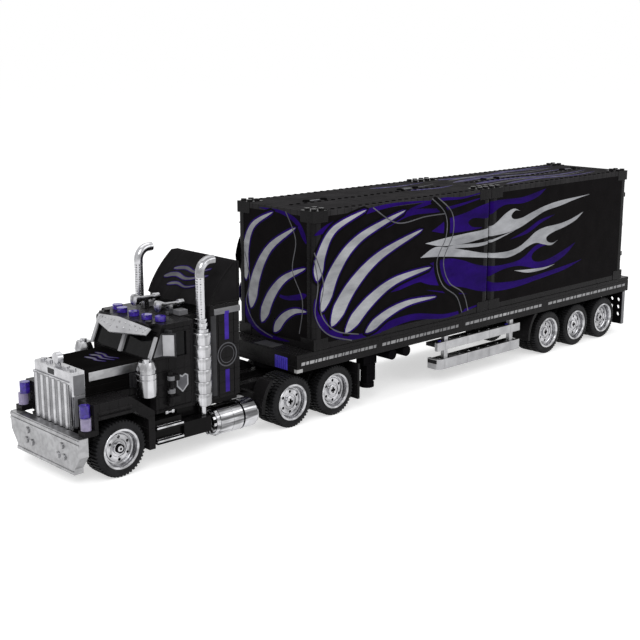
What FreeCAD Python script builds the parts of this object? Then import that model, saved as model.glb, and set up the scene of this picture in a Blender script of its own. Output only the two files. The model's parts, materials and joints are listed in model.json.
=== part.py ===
import FreeCAD, Part
import math
import os

V = FreeCAD.Vector

# Toy articulated lorry built of bricks. Millimetres, +Z up, front of the tractor at -Y.
# While it is modelled, y = 0 is the front axle; save() moves the origin to mid-length on the floor.

# Brick grid
stud = 8.0
brick_h = 9.6
stud_d = 4.8
stud_h = 1.7
wall = 3.2
rest_gap = 0.3
seam = 0.4
run_fit = 0.05
panel_fit = 0.1
half_w = 48.0
face_in = 0.4
groove = 0.8

# Wheels: the parts that turn are built with flats, like a fine polygon
wheel_d = 43.0
flats = 24
rim_share = 0.707
seat_share = 0.66
drum_share = 0.605
lip_w = 0.6
dish_depth = 5.0
web_t = 2.0
hub_d = 9.0
hub_proud = 1.8
hole_ring_d = 17.0
rim_holes = 6
rim_hole_d = 2.4
front_tyre_w = 20.0
twin_tyre_w = 13.4
twin_gap = 0.8
shoulder = 2.4
tread_edge = 1.4
axle_d = 4.8
cross_arm = 1.8
axle_in = 1.5
axle_z = wheel_d / 2
wheel_face_x = half_w - face_in

# Axle stations from the front axle
drive_axle_y = 165.4
axle_pitch = 48.0
front_reach = 36.4

# Front axle and steering
kingpin_x = half_w - 13.0
kingpin_d = 4.8
eye_r = 3.3
eye_h = 6.0
fork_t = 3.4
knuckle_web_t = 1.4
cap_t = 1.4
beam_w = 7.0

# Tractor frame
rail_in = 9.0
rail_w = 8.0
rail_out = rail_in + rail_w
axle_to_rail = 6.5
rail_z0 = axle_z + axle_to_rail
rail_z1 = rail_z0 + stud
frame_front_y = -26.5
frame_rear_y = 243.0
hanger_w = 12.0
hanger_t = 5.0
cross_t = 8.0
bay_h = 8.0
front_cross_y = 60.0
rear_cross_y = 124.0

# Bumper
bumper_top = rail_z1 + 0.7
bumper_mid = 23.0
bumper_low = 13.0
bumper_bottom = 8.7
bumper_low_half = half_w - stud
bumper_d = 7.2
bumper_t = 2.6
bumper_rib = 0.6
bumper_rib_h = 2.2
bumper_stud_h = 1.2
bumper_studs = ((24.0, 26.8), (18.3, 18.6), (26.2, 18.8))

# Radiator and bonnet
nose_half = 26.0
frame_half = nose_half - 1.2
grille_y = -28.6
grille_z0 = rail_z1 + rest_gap
grille_h = 35.7
grille_z1 = grille_z0 + grille_h
shell_d = 13.6
shell_step = 3.4
bar_r = 1.7
rib_r = 0.7
bars = 6
cap_lip = 1.2
cap_chamfer = 2.3
side_gap_h = 24.7
bonnet_z0 = grille_z0 + 22.0
bonnet_top = grille_z1 + 7.0
bonnet_chamfer = 2.0
moulding_y0 = -12.0
moulding_y1 = 30.0
moulding_h = 7.0
moulding_drop = 2.0
moulding_proud = 0.6
ornament_y = -20.6
ornament_r = 4.3
ornament_t = 4.6
ornament_h = 9.7

# Lamps and front fender
lamp_r = 3.8
lamp_h = 8.7
lamp_low_x = 43.4
lamp_low_y = -26.4
lamp_top_x = 41.6
lamp_top_y = -25.8
shelf_z1 = 40.8
shelf_t = 4.0
fender_x = half_w - 0.8
fender_front_y = -21.6
fender_top = 59.0
fender_top_y = 9.4
fender_rear_y = 29.6
fender_rear_z = 44.0
fender_t = 3.0
mud_z0 = 14.9
mud_t = 5.4
arch_top = wheel_d + 4.0
fender_bar_r = 1.3

# Cab
cab_half = 40.0
cab_front_y = 33.2
cab_rear_y = 72.0
cab_floor_z = rail_z1 + 4.6
cab_floor_t = 2.4
cab_inner_h = 61.1
cab_roof_z = cab_floor_z + cab_inner_h
cab_roof_t = 3.2
cab_top = cab_roof_z + cab_roof_t
cab_corner = 3.2
cowl_z = cab_floor_z + 39.4
screen_rise = 19.4
screen_lean = 0.43
screen_top_z = cowl_z + screen_rise
glass_t = 1.2
glass_in = 1.0
pillar_w = 3.4
post_half = 1.8
post_t = 1.2
brow_half = 32.0
brow_y0 = 37.6
brow_y1 = 46.0
brow_t = 1.6
brow_stud_x = 27.6
brow_stud_y = 40.4
visor_seat_half = 16.0
visor_seat_y = 36.1
box_on_roof_x = 17.0
box_on_roof_y = 70.5
way_half = 22.0
way_z0 = 48.0
way_z1 = 98.0

# Doors
door_y0 = 48.8
door_len = 20.0
door_y1 = door_y0 + door_len
door_z0 = cab_floor_z + 0.8
door_z1 = cab_roof_z - 1.1
door_t = 4.0
window_sill = door_z0 + 37.6
window_head = door_z1 - 3.2
window_margin = 3.4
hinge_x = cab_half + 3.2
hinge_y = door_y0 - 0.6
hinge_pin_d = 3.0
clip_r = 2.7
clip_h = 4.4
clip_low_z = door_z0 + 4.6
clip_high_z = clip_low_z + 16.4

# Visor: (x, y, z) of the front face at mid-width and at its outer end
visor_top_mid = (0.0, 33.0, 106.5)
visor_low_mid = (0.0, 23.5, 96.5)
visor_top_end = (34.2, 37.3, 102.5)
visor_low_end = (32.8, 33.4, 98.1)
visor_t = 1.2

# Things on the roof and beside the bonnet
roof_lamp_spots = ((0.0, 46.6), (16.3, 46.9), (28.3, 50.8))
roof_lamp_r = 4.0
roof_lamp_h = 3.6
horn_x = 15.8
horn_y = 57.0
horn_z = cab_top + 8.1
horn_foot_y = 66.0
horn_foot = 4.0
cleaner_x = 42.0
cleaner_y = 27.0
cleaner_r = 7.6
cleaner_z0 = 51.5
cleaner_h = 31.3
cleaner_cap_r = 3.4
cleaner_arm_z = 60.0
mirror_w = 10.4
mirror_t = 2.0
mirror_x = 46.4
mirror_y = 45.0
mirror_z0 = 82.0
mirror_h = 17.5

# Seats and dash
seat_x = 18.0
seat_half = 8.0
seat_y0 = 50.0
seat_y1 = 66.0
seat_h = 15.4
seat_back_h = 43.4
seat_back_t = 4.0
dash_d = 8.6
dash_z0 = 60.0
dash_z1 = 74.0
column_r = 1.2
column_len = 5.5
steering_r = 5.5

# Sleeper and roof
pass_half = 28.0
sleeper_y0 = 88.4
sleeper_len = 29.6
sleeper_y1 = sleeper_y0 + sleeper_len
sleeper_z0 = rail_z1 + 2.4
sleeper_z1 = cab_roof_z + 10.3
sleeper_round = 3.0
sleeper_seams = (7.0, 22.0)
sleeper_band = 6.0
fairing_half = 39.5
fairing_mid_y = 96.0
fairing_mid_bulge = 3.6
fairing_mid_h = 15.0
fairing_top_y = 111.8
fairing_top_z = 143.5
fairing_bulge = 7.0
fairing_top_bulge = 0.8
fairing_t = 2.4

# Stacks
stack_x = 39.8
stack_y = 79.6
muffler_d = 14.0
muffler_z0 = rail_z1 + 1.0
muffler_h = 57.0
muffler_z1 = muffler_z0 + muffler_h
flutes = 12
flute_depth = 0.9
collar_h = 8.0
pipe_d = 8.0
pipe_bore = 6.0
elbow_r = 9.5
elbow_z = 138.4
pipe_end = 4.0
tail_pipe_d = 5.0
clamp_h = 4.0
clamp_low = 15.0
clamp_high = 47.0

# Fuel tanks and steps
tank_z = 20.0
tank_r = 12.0
tank_x = half_w - tank_r
tank_y0 = 84.0
tank_len = 46.4
tank_y1 = tank_y0 + tank_len
tank_ring = 3.0
tank_nose = 6.0
step_y0 = 30.4
step_y1 = 56.0
step_x = 43.6
step_z0 = 19.0
step_z1 = rail_z0 + 6.6
tread_x = 43.0
tread_t = 2.8
tread_z = (17.2, 27.6)
battery_x = 46.4
battery_y0 = 56.6
battery_y1 = 82.0
battery_z0 = 16.6
battery_h = 12.0

# Rear fenders and fifth wheel
arch_r = axle_z + 12.1
arch_t = 3.0
fender_in_x = 34.0
flap_in_x = 20.0
flap_z0 = 9.0
flap_z1 = 40.0
flap_t = 2.4
coupler_r = 20.0
coupler_t = 3.2
stand_half = 15.0
stand_len = 24.0

# Trailer
kingpin_y = drive_axle_y + axle_pitch / 2
deck_y0 = 169.5
side_rail_z0 = rail_z1 + 9.0
side_rail_t = 4.0
side_rail_h = 9.0
deck_t = 6.0
deck_z0 = side_rail_z0 + side_rail_h
deck_z1 = deck_z0 + deck_t
deck_line = 3.6
spine_half = 12.0
pad_half = 28.0
pad_front = 16.0
pad_rear = 28.0
bogie_reach = 14.0
bogie_t = 11.0
gear_x = 34.0
gear_y = 264.0
gear_half = 4.0
gear_z0 = 16.0
rack_r = 4.6
rack_h = 12.0
foot_r = 6.4
foot_h = 3.4
tank_row = (284.0, 302.0)
air_tank_r = 4.8
skirt_y0 = 341.0
skirt_t = 3.2
skirt_z = (14.0, 32.2)
skirt_h = (9.6, 7.8)
skirt_nose = 2.5
skirt_in = 14.0
skirt_round = 6.0
shelf_down = 1.0
skirt_post = 5.0
skirt_post_in = 12.0
skirt_post_out = 8.0
tail_flap_x = 22.0
tail_flap_t = 4.0
tail_flap_in = 5.0
flap_hole_r = 2.4

# Containers
box_y0 = 188.0
box_len = 223.6
box_gap = 0.8
box_h = 115.2
box_panel = 3.2
casting = 16.0
post = stud
post_round = 4.4
roof_t = 4.8
roof_in = 0.4
base_t = 4.8
deck_tail = 14.0
tail_y = box_y0 + 2 * box_len + box_gap + deck_tail
bogie_in = 140.0
trailer_axle_y = tail_y - bogie_in
skirt_to_bogie = 48.0
skirt_y1 = trailer_axle_y - skirt_to_bogie

# Rear doors
rear_hinge_x = half_w - 5.6
rear_hinge_out = 2.9
rear_pin_d = 2.4
rear_clip_r = 2.3
rear_clip_in = 14.0
lock_rod_r = 1.2
lock_rod_x = (10.0, 28.0)


def centre_y():
    return (tail_y - front_reach) / 2


def block(x0, x1, y0, y1, z0, z1):
    return Part.makeBox(x1 - x0, y1 - y0, z1 - z0, V(x0, y0, z0))


def rod(radius, start, direction, length):
    return Part.makeCylinder(radius, length, V(*start), V(*direction))


def prism_x(points, x0, x1):
    """Outline in (y, z), drawn along x."""
    wire = Part.makePolygon([V(x0, y, z) for y, z in points + points[:1]])
    return Part.Face(wire).extrude(V(x1 - x0, 0, 0))


def prism_y(points, y0, y1):
    """Outline in (x, z), drawn along y."""
    wire = Part.makePolygon([V(x, y0, z) for x, z in points + points[:1]])
    return Part.Face(wire).extrude(V(0, y1 - y0, 0))


def prism_z(points, z0, z1):
    """Outline in (x, y), drawn along z."""
    wire = Part.makePolygon([V(x, y, z0) for x, y in points + points[:1]])
    return Part.Face(wire).extrude(V(0, 0, z1 - z0))


def quad(corners):
    kept = [p for i, p in enumerate(corners) if not p.isEqual(corners[i - 1], 1e-6)]
    return Part.Face(Part.makePolygon(kept + kept[:1]))


def turned(points, centre, axis, side):
    """Outline of (distance along axis, radius) pairs turned about the axis in equal flats."""
    c = V(*centre)
    a = V(*axis)
    s = V(*side)
    reach = 1 / math.cos(math.pi / flats)
    rings = []
    for i in range(flats):
        angle = 2 * math.pi * (i + 0.5) / flats
        out = (s * math.cos(angle) + a.cross(s) * math.sin(angle)) * reach
        rings.append([c + a * u + out * r for u, r in points])
    faces = []
    for i in range(flats):
        near = rings[i - 1]
        far = rings[i]
        for j in range(len(points)):
            if points[j - 1][1] + points[j][1] > 0:
                faces.append(quad([near[j - 1], near[j], far[j], far[j - 1]]))
    solid = Part.Solid(Part.Shell(faces))
    if solid.Volume < 0:
        solid.reverse()
    return solid.removeSplitter()


def join(shapes):
    whole = shapes[0]
    for shape in shapes[1:]:
        whole = whole.fuse(shape)
    return whole.removeSplitter()


def mirror(shape):
    return shape.mirror(V(0, 0, 0), V(1, 0, 0))


def pair(shape):
    return [shape, mirror(shape)]


def round_uprights(shape, radius, spots):
    """Round the vertical edges that stand at the given (x, y) spots."""
    edges = []
    for edge in shape.Edges:
        a = edge.Vertexes[0].Point
        b = edge.Vertexes[-1].Point
        upright = abs(a.x - b.x) + abs(a.y - b.y) < 1e-6
        if upright and any(abs(a.x - x) + abs(a.y - y) < 1e-3 for x, y in spots):
            edges.append(edge)
    return shape.makeFillet(radius, edges)


def stud_on(x, y, z):
    return rod(stud_d / 2, (x, y, z), (0, 0, 1), stud_h)


def save(node, shapes):
    whole = Part.makeCompound(shapes) if isinstance(shapes, list) else shapes
    whole = whole.copy()
    whole.translate(V(0, -centre_y(), 0))
    whole.exportStep(os.path.join("parts", node + ".step"))


# Wheels


def cross_bar(x0, x1, y, half):
    """Bar with a plus-shaped section; half is the half width across two arms."""
    arm = cross_arm / 2 + half - axle_d / 2
    z = axle_z
    flat = block(x0, x1, y - half, y + half, z - arm, z + arm)
    upright = block(x0, x1, y - arm, y + arm, z - half, z + half)
    return join([flat, upright]).common(rod(half, (x0, y, z), (1, 0, 0), x1 - x0))


def rim_holes_cut(y, depth):
    """Holes round the hub, six-sided so that they stay light."""
    cuts = []
    r = rim_hole_d / 2
    for i in range(rim_holes):
        a = 2 * math.pi * (i + 0.5) / rim_holes
        cy = y + hole_ring_d / 2 * math.cos(a)
        cz = axle_z + hole_ring_d / 2 * math.sin(a)
        corners = [(cy + r * math.cos(k * math.pi / 3), cz + r * math.sin(k * math.pi / 3)) for k in range(6)]
        cuts.append(prism_x(corners, wheel_face_x - depth, wheel_face_x))
    return Part.makeCompound(cuts)


def rim_front(width):
    """Outline of a deep-dish rim from the back of its web, round the seat, to its outer lip."""
    lip = wheel_d * rim_share / 2
    seat = wheel_d * seat_share / 2
    inner = wheel_d * drum_share / 2
    web = dish_depth + web_t
    return [
        (web, hub_d / 2), (web, inner), (width, inner), (width, seat), (lip_w, seat), (lip_w, lip),
        (0, lip), (0, lip - 1), (dish_depth, inner - 1), (dish_depth, hub_d / 2),
        (dish_depth - hub_proud, hub_d / 2),
    ]


def front_rim():
    """Rim with a round bore that runs on the knuckle's spindle."""
    bore = axle_d / 2 + run_fit
    back = dish_depth + web_t + panel_fit
    outline = rim_front(front_tyre_w) + [(dish_depth - hub_proud, bore), (back, bore), (back, hub_d / 2)]
    whole = turned(outline, (wheel_face_x, 0, axle_z), (-1, 0, 0), (0, 0, 1))
    return whole.cut(rim_holes_cut(0, dish_depth + web_t + 1))


def twin_rim(y):
    """Outer dished rim and plain inner rim on one hub with a plus-shaped bore."""
    seat = wheel_d * seat_share / 2
    inner = wheel_d * drum_share / 2
    second = twin_tyre_w + twin_gap
    back = second + twin_tyre_w
    outline = rim_front(twin_tyre_w) + [
        (dish_depth - hub_proud, 0), (back, 0), (back, seat), (second, seat), (second, inner),
        (back - wall, inner), (back - wall, hub_d / 2),
    ]
    whole = turned(outline, (wheel_face_x, y, axle_z), (-1, 0, 0), (0, 0, 1))
    whole = whole.cut(rim_holes_cut(y, dish_depth + web_t + 1))
    return whole.cut(cross_bar(0, half_w, y, axle_d / 2 + run_fit))


def tyre(face_x, width, y):
    """Tyre on the rim's seat; its outer wall stands just inside the rim's lip."""
    tread = wheel_d / 2
    seat = wheel_d * seat_share / 2 + run_fit
    side = lip_w + run_fit
    outline = [
        (side, seat), (side, tread - shoulder), (side + tread_edge, tread),
        (width - side - tread_edge, tread), (width - side, tread - shoulder), (width - side, seat),
    ]
    return turned(outline, (face_x, y, axle_z), (-1, 0, 0), (0, 0, 1))


def wheelset(y):
    """Two twin wheels a side on one through axle: they turn as one."""
    outer = wheel_face_x
    inner = wheel_face_x - twin_tyre_w - twin_gap
    end = wheel_face_x - dish_depth + hub_proud - axle_in
    metal = pair(twin_rim(y)) + [cross_bar(-end, end, y, axle_d / 2)]
    rubber = pair(tyre(outer, twin_tyre_w, y)) + pair(tyre(inner, twin_tyre_w, y))
    return metal, rubber


def front_axle():
    """Dead beam with an eye at each end for the kingpins, and its saddle on the frame."""
    low = axle_z - eye_h / 2
    high = axle_z + eye_h / 2
    beam = block(-kingpin_x, kingpin_x, -beam_w / 2, beam_w / 2, low, high)
    eyes = [rod(eye_r, (s * kingpin_x, 0, low), (0, 0, 1), eye_h) for s in (-1, 1)]
    saddles = pair(block(rail_in, rail_out, -cross_t / 2, cross_t / 2, high - 1, rail_z0))
    whole = join([beam] + eyes + saddles)
    for s in (-1, 1):
        whole = whole.cut(rod(kingpin_d / 2 + run_fit, (s * kingpin_x, 0, low - 1), (0, 0, 1), eye_h + 2))
    return whole


def knuckle():
    """Fork round the eye, kingpin through it and the spindle that carries the wheel."""
    half = eye_h / 2 + run_fit
    low = axle_z - half - fork_t
    high = axle_z + half + fork_t
    web_x = kingpin_x + eye_r + run_fit
    back = kingpin_x - eye_r
    lugs = [
        block(back, web_x, -eye_r, eye_r, axle_z + half, high),
        block(back, web_x, -eye_r, eye_r, low, axle_z - half),
    ]
    web = block(web_x, web_x + knuckle_web_t, -eye_r, eye_r, low, high)
    pin = rod(kingpin_d / 2, (kingpin_x, 0, low), (0, 0, 1), high - low)
    hub_x = wheel_face_x - dish_depth + hub_proud + run_fit
    spindle = rod(axle_d / 2, (web_x, 0, axle_z), (1, 0, 0), hub_x + 1 - web_x)
    cap = rod(axle_d / 2 + 1, (hub_x, 0, axle_z), (1, 0, 0), cap_t)
    return join(lugs + [web, pin, spindle, cap])


# Tractor frame


def hanger(y, top):
    """Block under a rail with the axle's running bore."""
    half = hanger_w / 2
    body = block(rail_out - hanger_t, rail_out, y - half, y + half, axle_z - half, top)
    return body.cut(rod(axle_d / 2 + run_fit, (0, y, axle_z), (1, 0, 0), half_w))


def chassis():
    back = grille_y + shell_d + seam
    bay_z0 = rail_z1 + bay_h
    rail = block(rail_in, rail_out, frame_front_y, frame_rear_y, rail_z0, rail_z1)
    nose = block(rail_in, rail_out, back, cab_front_y, rail_z1 - 1, bay_z0)
    bay = block(-nose_half, nose_half, back, cab_front_y - seam, bay_z0, bonnet_z0 - seam)
    for z in (bay_z0 + bay_h / 2, bay_z0 + bay_h):
        for s in (-1, 1):
            x0, x1 = sorted((s * (nose_half - groove), s * (nose_half + 1)))
            bay = bay.cut(block(x0, x1, back - 1, cab_front_y, z, z + groove))
    bed_z1 = cab_floor_z - cab_floor_t - rest_gap
    bed = block(-pass_half, pass_half, cab_front_y, sleeper_y1, rail_z1 - 1, bed_z1)
    pieces = pair(rail) + pair(nose) + [bay, bed]
    rear_y = frame_rear_y - cross_t
    for y in (frame_front_y, front_cross_y, rear_cross_y, kingpin_y - cross_t / 2, rear_y):
        pieces.append(block(-rail_in - 1, rail_in + 1, y, y + cross_t, rail_z0, rail_z1))
    for y in (drive_axle_y, drive_axle_y + axle_pitch):
        pieces += pair(hanger(y, rail_z0 + 1))
    return join(pieces)


def bumper_outline(inset):
    """Half-hexagon ends: upright, sloped in, then a narrower upright foot."""
    w = half_w - inset
    foot = bumper_low_half - inset
    return [
        (-w, bumper_top), (w, bumper_top), (w, bumper_mid), (foot, bumper_low), (foot, bumper_bottom),
        (-foot, bumper_bottom), (-foot, bumper_low), (-w, bumper_mid),
    ]


def bumper():
    """Deep bumper, open at the back, with ribs, six studs and the two irons that hold it."""
    face = -front_reach + bumper_stud_h
    back = face + bumper_d
    shell = prism_y(bumper_outline(0), face, back)
    hollow = prism_y(bumper_outline(bumper_t), face + bumper_t, back + 1)
    shell = shell.cut(hollow.common(block(-half_w, half_w, face, back + 1, 0, bumper_top - bumper_t)))
    pieces = [shell]
    for z in (bumper_top - bumper_rib_h - 1, bumper_top - 2 * bumper_rib_h - 2):
        pieces.append(block(-half_w, half_w, face - bumper_rib, face + 1, z, z + bumper_rib_h))
    pieces.append(block(-bumper_low_half, bumper_low_half, face - bumper_rib, face + 1,
                        bumper_bottom, bumper_bottom + bumper_rib_h))
    for x, z in bumper_studs:
        pieces += pair(rod(stud_d / 2, (x, face + 1, z), (0, -1, 0), bumper_stud_h + 1))
    pieces += pair(block(rail_in, rail_out, face + 1, frame_front_y - rest_gap, rail_z0, rail_z1))
    return join(pieces)


def grille():
    """Radiator: fluted front with feet under its bars, stepped shell behind and the finial on its cap."""
    step_y = grille_y + shell_step
    back = grille_y + shell_d
    plate_y = grille_y + bar_r
    plate = block(-frame_half, frame_half, plate_y, step_y, grille_z0, grille_z1)
    lintel = block(-frame_half, frame_half, grille_y + 1, step_y, grille_z1 - bar_r, grille_z1)
    side = [
        (step_y, grille_z0 + 1), (step_y, grille_z1 - 2 * cap_lip), (step_y - cap_lip, grille_z1 + rest_gap),
        (step_y - cap_lip, bonnet_top), (back, bonnet_top), (back, grille_z0 + 1),
    ]
    shell = prism_x(side, -nose_half, nose_half)
    gap_z = grille_z0 + side_gap_h
    front = step_y - cap_lip - 1
    for s in (-1, 1):
        x0, x1 = sorted((s * (nose_half - cap_chamfer), s * (nose_half + 1)))
        shell = shell.cut(block(x0, x1, step_y - 1, step_y + 1, grille_z0, gap_z))
        corner = [
            (s * (nose_half + 1), front), (s * (nose_half - cap_chamfer - 1), front),
            (s * (nose_half + 1), front + cap_chamfer + 2),
        ]
        shell = shell.cut(prism_z(corner, gap_z, bonnet_top + 1))
    pieces = [plate, lintel, shell]
    pitch = 2 * (frame_half - bar_r / 2) / bars
    for i in range(bars):
        x = pitch * (i + 0.5 - bars / 2)
        pieces.append(rod(bar_r, (x, plate_y, grille_z0 + 1), (0, 0, 1), grille_h - 2))
        pieces.append(rod(bar_r + 0.4, (x, plate_y + 0.4, grille_z0 + 2), (0, 0, 1), 2 * bar_r))
        for offset in (-pitch / 2 + rib_r, -pitch / 4 - rib_r / 2, pitch / 4 + rib_r / 2, pitch / 2 - rib_r):
            pieces.append(rod(rib_r, (x + offset, plate_y, grille_z0), (0, 0, 1), grille_h))
    for x in (stud * 1.5, stud * 2.5):
        pieces += [stud_on(s * x, ornament_y, bonnet_top) for s in (-1, 1)]
    return join(pieces + [finial()])


def finial():
    """Round crest on a short stem, on the radiator's cap."""
    top = bonnet_top + ornament_h
    stem = rod(ornament_r / 2, (0, ornament_y, bonnet_top - 1), (0, 0, 1), ornament_h - ornament_r)
    crest = rod(ornament_r, (0, ornament_y - ornament_t / 2, top - ornament_r), (0, 1, 0), ornament_t)
    return join([stem, crest])


def bonnet():
    c = bonnet_chamfer
    outline = [
        (-nose_half, bonnet_z0), (nose_half, bonnet_z0), (nose_half, bonnet_top - c),
        (nose_half - c, bonnet_top), (-nose_half + c, bonnet_top), (-nose_half, bonnet_top - c),
    ]
    y0 = grille_y + shell_d + seam
    y1 = cab_front_y - seam
    whole = prism_y(outline, y0, y1)
    band_z1 = bonnet_top - moulding_drop
    band_z0 = band_z1 - moulding_h
    for s in (-1, 1):
        x0, x1 = sorted((s * (nose_half - groove), s * (nose_half + 1)))
        for z in (band_z0 - 2 * moulding_drop, bonnet_z0 + moulding_drop):
            whole = whole.cut(block(x0, x1, y0 - 1, y1 + 1, z, z + groove))
        x0, x1 = sorted((s * (nose_half - 1), s * (nose_half + moulding_proud)))
        whole = whole.fuse(block(x0, x1, moulding_y0, moulding_y1, band_z0, band_z1))
    return whole.removeSplitter()


def headlamps():
    shapes = pair(rod(lamp_r, (lamp_low_x, lamp_low_y, shelf_z1 + rest_gap), (0, 0, 1), lamp_h))
    top_z = shelf_z1 + lamp_h + 2 * rest_gap
    return shapes + pair(rod(lamp_r, (lamp_top_x, lamp_top_y, top_z), (0, 0, 1), lamp_h))


def front_fender():
    """Stepped wheel arch: front plate, flat top, sloped back and mud plate behind the tyre."""
    inner_y = fender_front_y + fender_t
    mud_y = fender_rear_y - mud_t
    shelf_z0 = shelf_z1 - shelf_t
    outline = [
        (fender_front_y, shelf_z0), (fender_front_y, fender_top), (fender_top_y, fender_top),
        (fender_rear_y, fender_rear_z), (fender_rear_y, mud_z0), (mud_y, mud_z0),
        (mud_y, fender_rear_z - mud_t), (fender_top_y + fender_t, arch_top), (inner_y, arch_top),
        (inner_y, shelf_z0),
    ]
    pieces = [prism_x(outline, nose_half + seam / 2, fender_x)]
    for z in (arch_top + fender_bar_r + 0.4, arch_top + 4 * fender_bar_r):
        pieces.append(rod(fender_bar_r, (fender_x - 0.2, inner_y, z), (0, 1, 0), fender_top_y - inner_y))
    pieces.append(block(lamp_low_x - stud / 2, half_w, lamp_low_y - stud / 2, fender_front_y + 1,
                        shelf_z0, shelf_z1))
    return join(pieces)


# Cab


def screen_y(z):
    """Front face of the cab above the cowl."""
    return cab_front_y + screen_lean * (z - cowl_z)


def cab_shell():
    """Floor, nose wall, fixed side panels with pillars, rear wall, roof and the way to the sleeper."""
    low = cab_floor_z - cab_floor_t
    outline = [
        (cab_front_y, low), (cab_rear_y, low), (cab_rear_y, cab_top), (screen_y(cab_top), cab_top),
        (cab_front_y, cowl_z),
    ]
    inner_outline = [
        (cab_front_y + wall, cab_floor_z), (cab_rear_y - wall, cab_floor_z), (cab_rear_y - wall, cab_roof_z),
        (screen_y(cab_roof_z) + wall, cab_roof_z), (cab_front_y + wall, cowl_z),
    ]
    shell = prism_x(outline, -cab_half, cab_half)
    shell = shell.cut(prism_x(inner_outline, -cab_half + wall, cab_half - wall))
    shell = shell.cut(block(-half_w, half_w, door_y0 - seam, door_y1 + seam, door_z0 - seam, door_z1 + seam))
    shell = shell.cut(block(-cab_half + pillar_w, cab_half - pillar_w, cab_front_y - 1,
                            screen_y(screen_top_z) + wall + 1, cowl_z, screen_top_z))
    shell = shell.cut(block(-way_half, way_half, cab_rear_y - wall - 1, cab_rear_y + 1, way_z0, way_z1))
    for s in (-1, 1):
        corner = [
            (s * (cab_half + 1), cab_front_y - 1), (s * (cab_half - cab_corner - 1), cab_front_y - 1),
            (s * (cab_half + 1), cab_front_y + cab_corner + 1),
        ]
        shell = shell.cut(prism_z(corner, low - 1, cowl_z))
    tunnel = block(-pass_half, pass_half, cab_rear_y - 1, sleeper_y0 - seam, low, cab_top)
    tunnel = tunnel.cut(block(-pass_half + wall, pass_half - wall, cab_rear_y - 2, sleeper_y0,
                              cab_floor_z, cab_roof_z))
    return join([shell, tunnel] + brow() + hinge_bars())


def brow():
    """Plate ahead of the roof's edge, which carries the visor, and two small boxes on the roof."""
    z0 = cab_top - brow_t
    pieces = [
        block(-brow_half, brow_half, brow_y0, brow_y1, z0, cab_top),
        block(-visor_seat_half, visor_seat_half, visor_seat_y, brow_y0 + 1, z0, cab_top),
    ]
    pieces += [stud_on(s * brow_stud_x, brow_stud_y, cab_top) for s in (-1, 1)]
    box = block(box_on_roof_x, box_on_roof_x + stud, box_on_roof_y, box_on_roof_y + stud,
                cab_top - 1, cab_top + stud / 2)
    return pieces + pair(box)


def hinge_bars():
    """Upright bar beside each doorway, held by three lugs on the fixed side panel."""
    lug = clip_h / 2
    low = clip_low_z - lug - seam
    high = clip_high_z + clip_h + seam
    spots = (low, (clip_low_z + clip_high_z) / 2 + lug / 2, high)
    shapes = []
    for s in (-1, 1):
        shapes.append(rod(hinge_pin_d / 2, (s * hinge_x, hinge_y, low), (0, 0, 1), high + lug - low))
        x0, x1 = sorted((s * (cab_half - 1), s * (hinge_x + 1)))
        for z in spots:
            shapes.append(block(x0, x1, hinge_y - hinge_pin_d, hinge_y - 0.6, z, z + lug))
    return shapes


def door():
    """Left door with its window cut and the two clips that turn on the hinge bar."""
    leaf = block(cab_half - door_t, cab_half, door_y0, door_y1, door_z0, door_z1)
    window = block(0, half_w, door_y0 + window_margin, door_y1 - window_margin, window_sill, window_head)
    pieces = [leaf.cut(window)]
    for z in (clip_low_z, clip_high_z):
        pieces.append(rod(clip_r, (hinge_x, hinge_y, z), (0, 0, 1), clip_h))
        pieces.append(block(cab_half - 0.5, hinge_x + clip_r, hinge_y + 0.4, hinge_y + 6.0, z, z + clip_h))
    bore = rod(hinge_pin_d / 2 + run_fit, (hinge_x, hinge_y, door_z0), (0, 0, 1), door_z1 - door_z0)
    return join(pieces).cut(bore)


def door_glass():
    middle = cab_half - door_t / 2
    return block(middle - glass_t / 2, middle + glass_t / 2,
                 door_y0 + window_margin, door_y1 - window_margin, window_sill, window_head)


def windscreen():
    y0 = cab_front_y + glass_in
    y1 = screen_y(screen_top_z) + glass_in
    points = [(y0, cowl_z), (y0 + glass_t, cowl_z), (y1 + glass_t, screen_top_z), (y1, screen_top_z)]
    return prism_x(points, -cab_half + pillar_w, cab_half - pillar_w)


def screen_trim():
    """Sun visor of two plates that meet in a low point, and the bright posts of the screen."""
    shapes = []
    rise = screen_rise - wall
    spots = (
        (-post_half, post_half, glass_in - rest_gap), (cab_half - pillar_w, cab_half, -rest_gap),
        (-cab_half, -cab_half + pillar_w, -rest_gap),
    )
    for x0, x1, depth in spots:
        back = cab_front_y + depth
        front = cab_front_y - rest_gap - post_t
        lean = screen_lean * rise
        high = cowl_z + rise
        points = [(front, cowl_z), (back, cowl_z), (back + lean, high), (front + lean, high)]
        shapes.append(prism_x(points, x0, x1))
    return shapes + [join([visor_half(1), visor_half(-1)])]


def visor_half(s):
    """Sloped plate ahead of the roof, deepest at mid-width."""
    wires = []
    for top, low in ((visor_top_mid, visor_low_mid), (visor_top_end, visor_low_end)):
        down = V(0, low[1] - top[1], low[2] - top[2])
        back = V(0, -down.z, down.y) * (visor_t / down.Length)
        a = V(s * top[0], top[1], top[2])
        b = V(s * low[0], low[1], low[2])
        wires.append(Part.makePolygon([a, b, b + back, a + back, a]))
    return Part.makeLoft(wires, True, True)


def roof_lamps():
    z = cab_top + rest_gap
    shapes = []
    for x, y in roof_lamp_spots:
        lamp = rod(roof_lamp_r, (x, y, z), (0, 0, 1), roof_lamp_h)
        shapes += pair(lamp) if x > 0 else [lamp]
    return shapes


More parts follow.
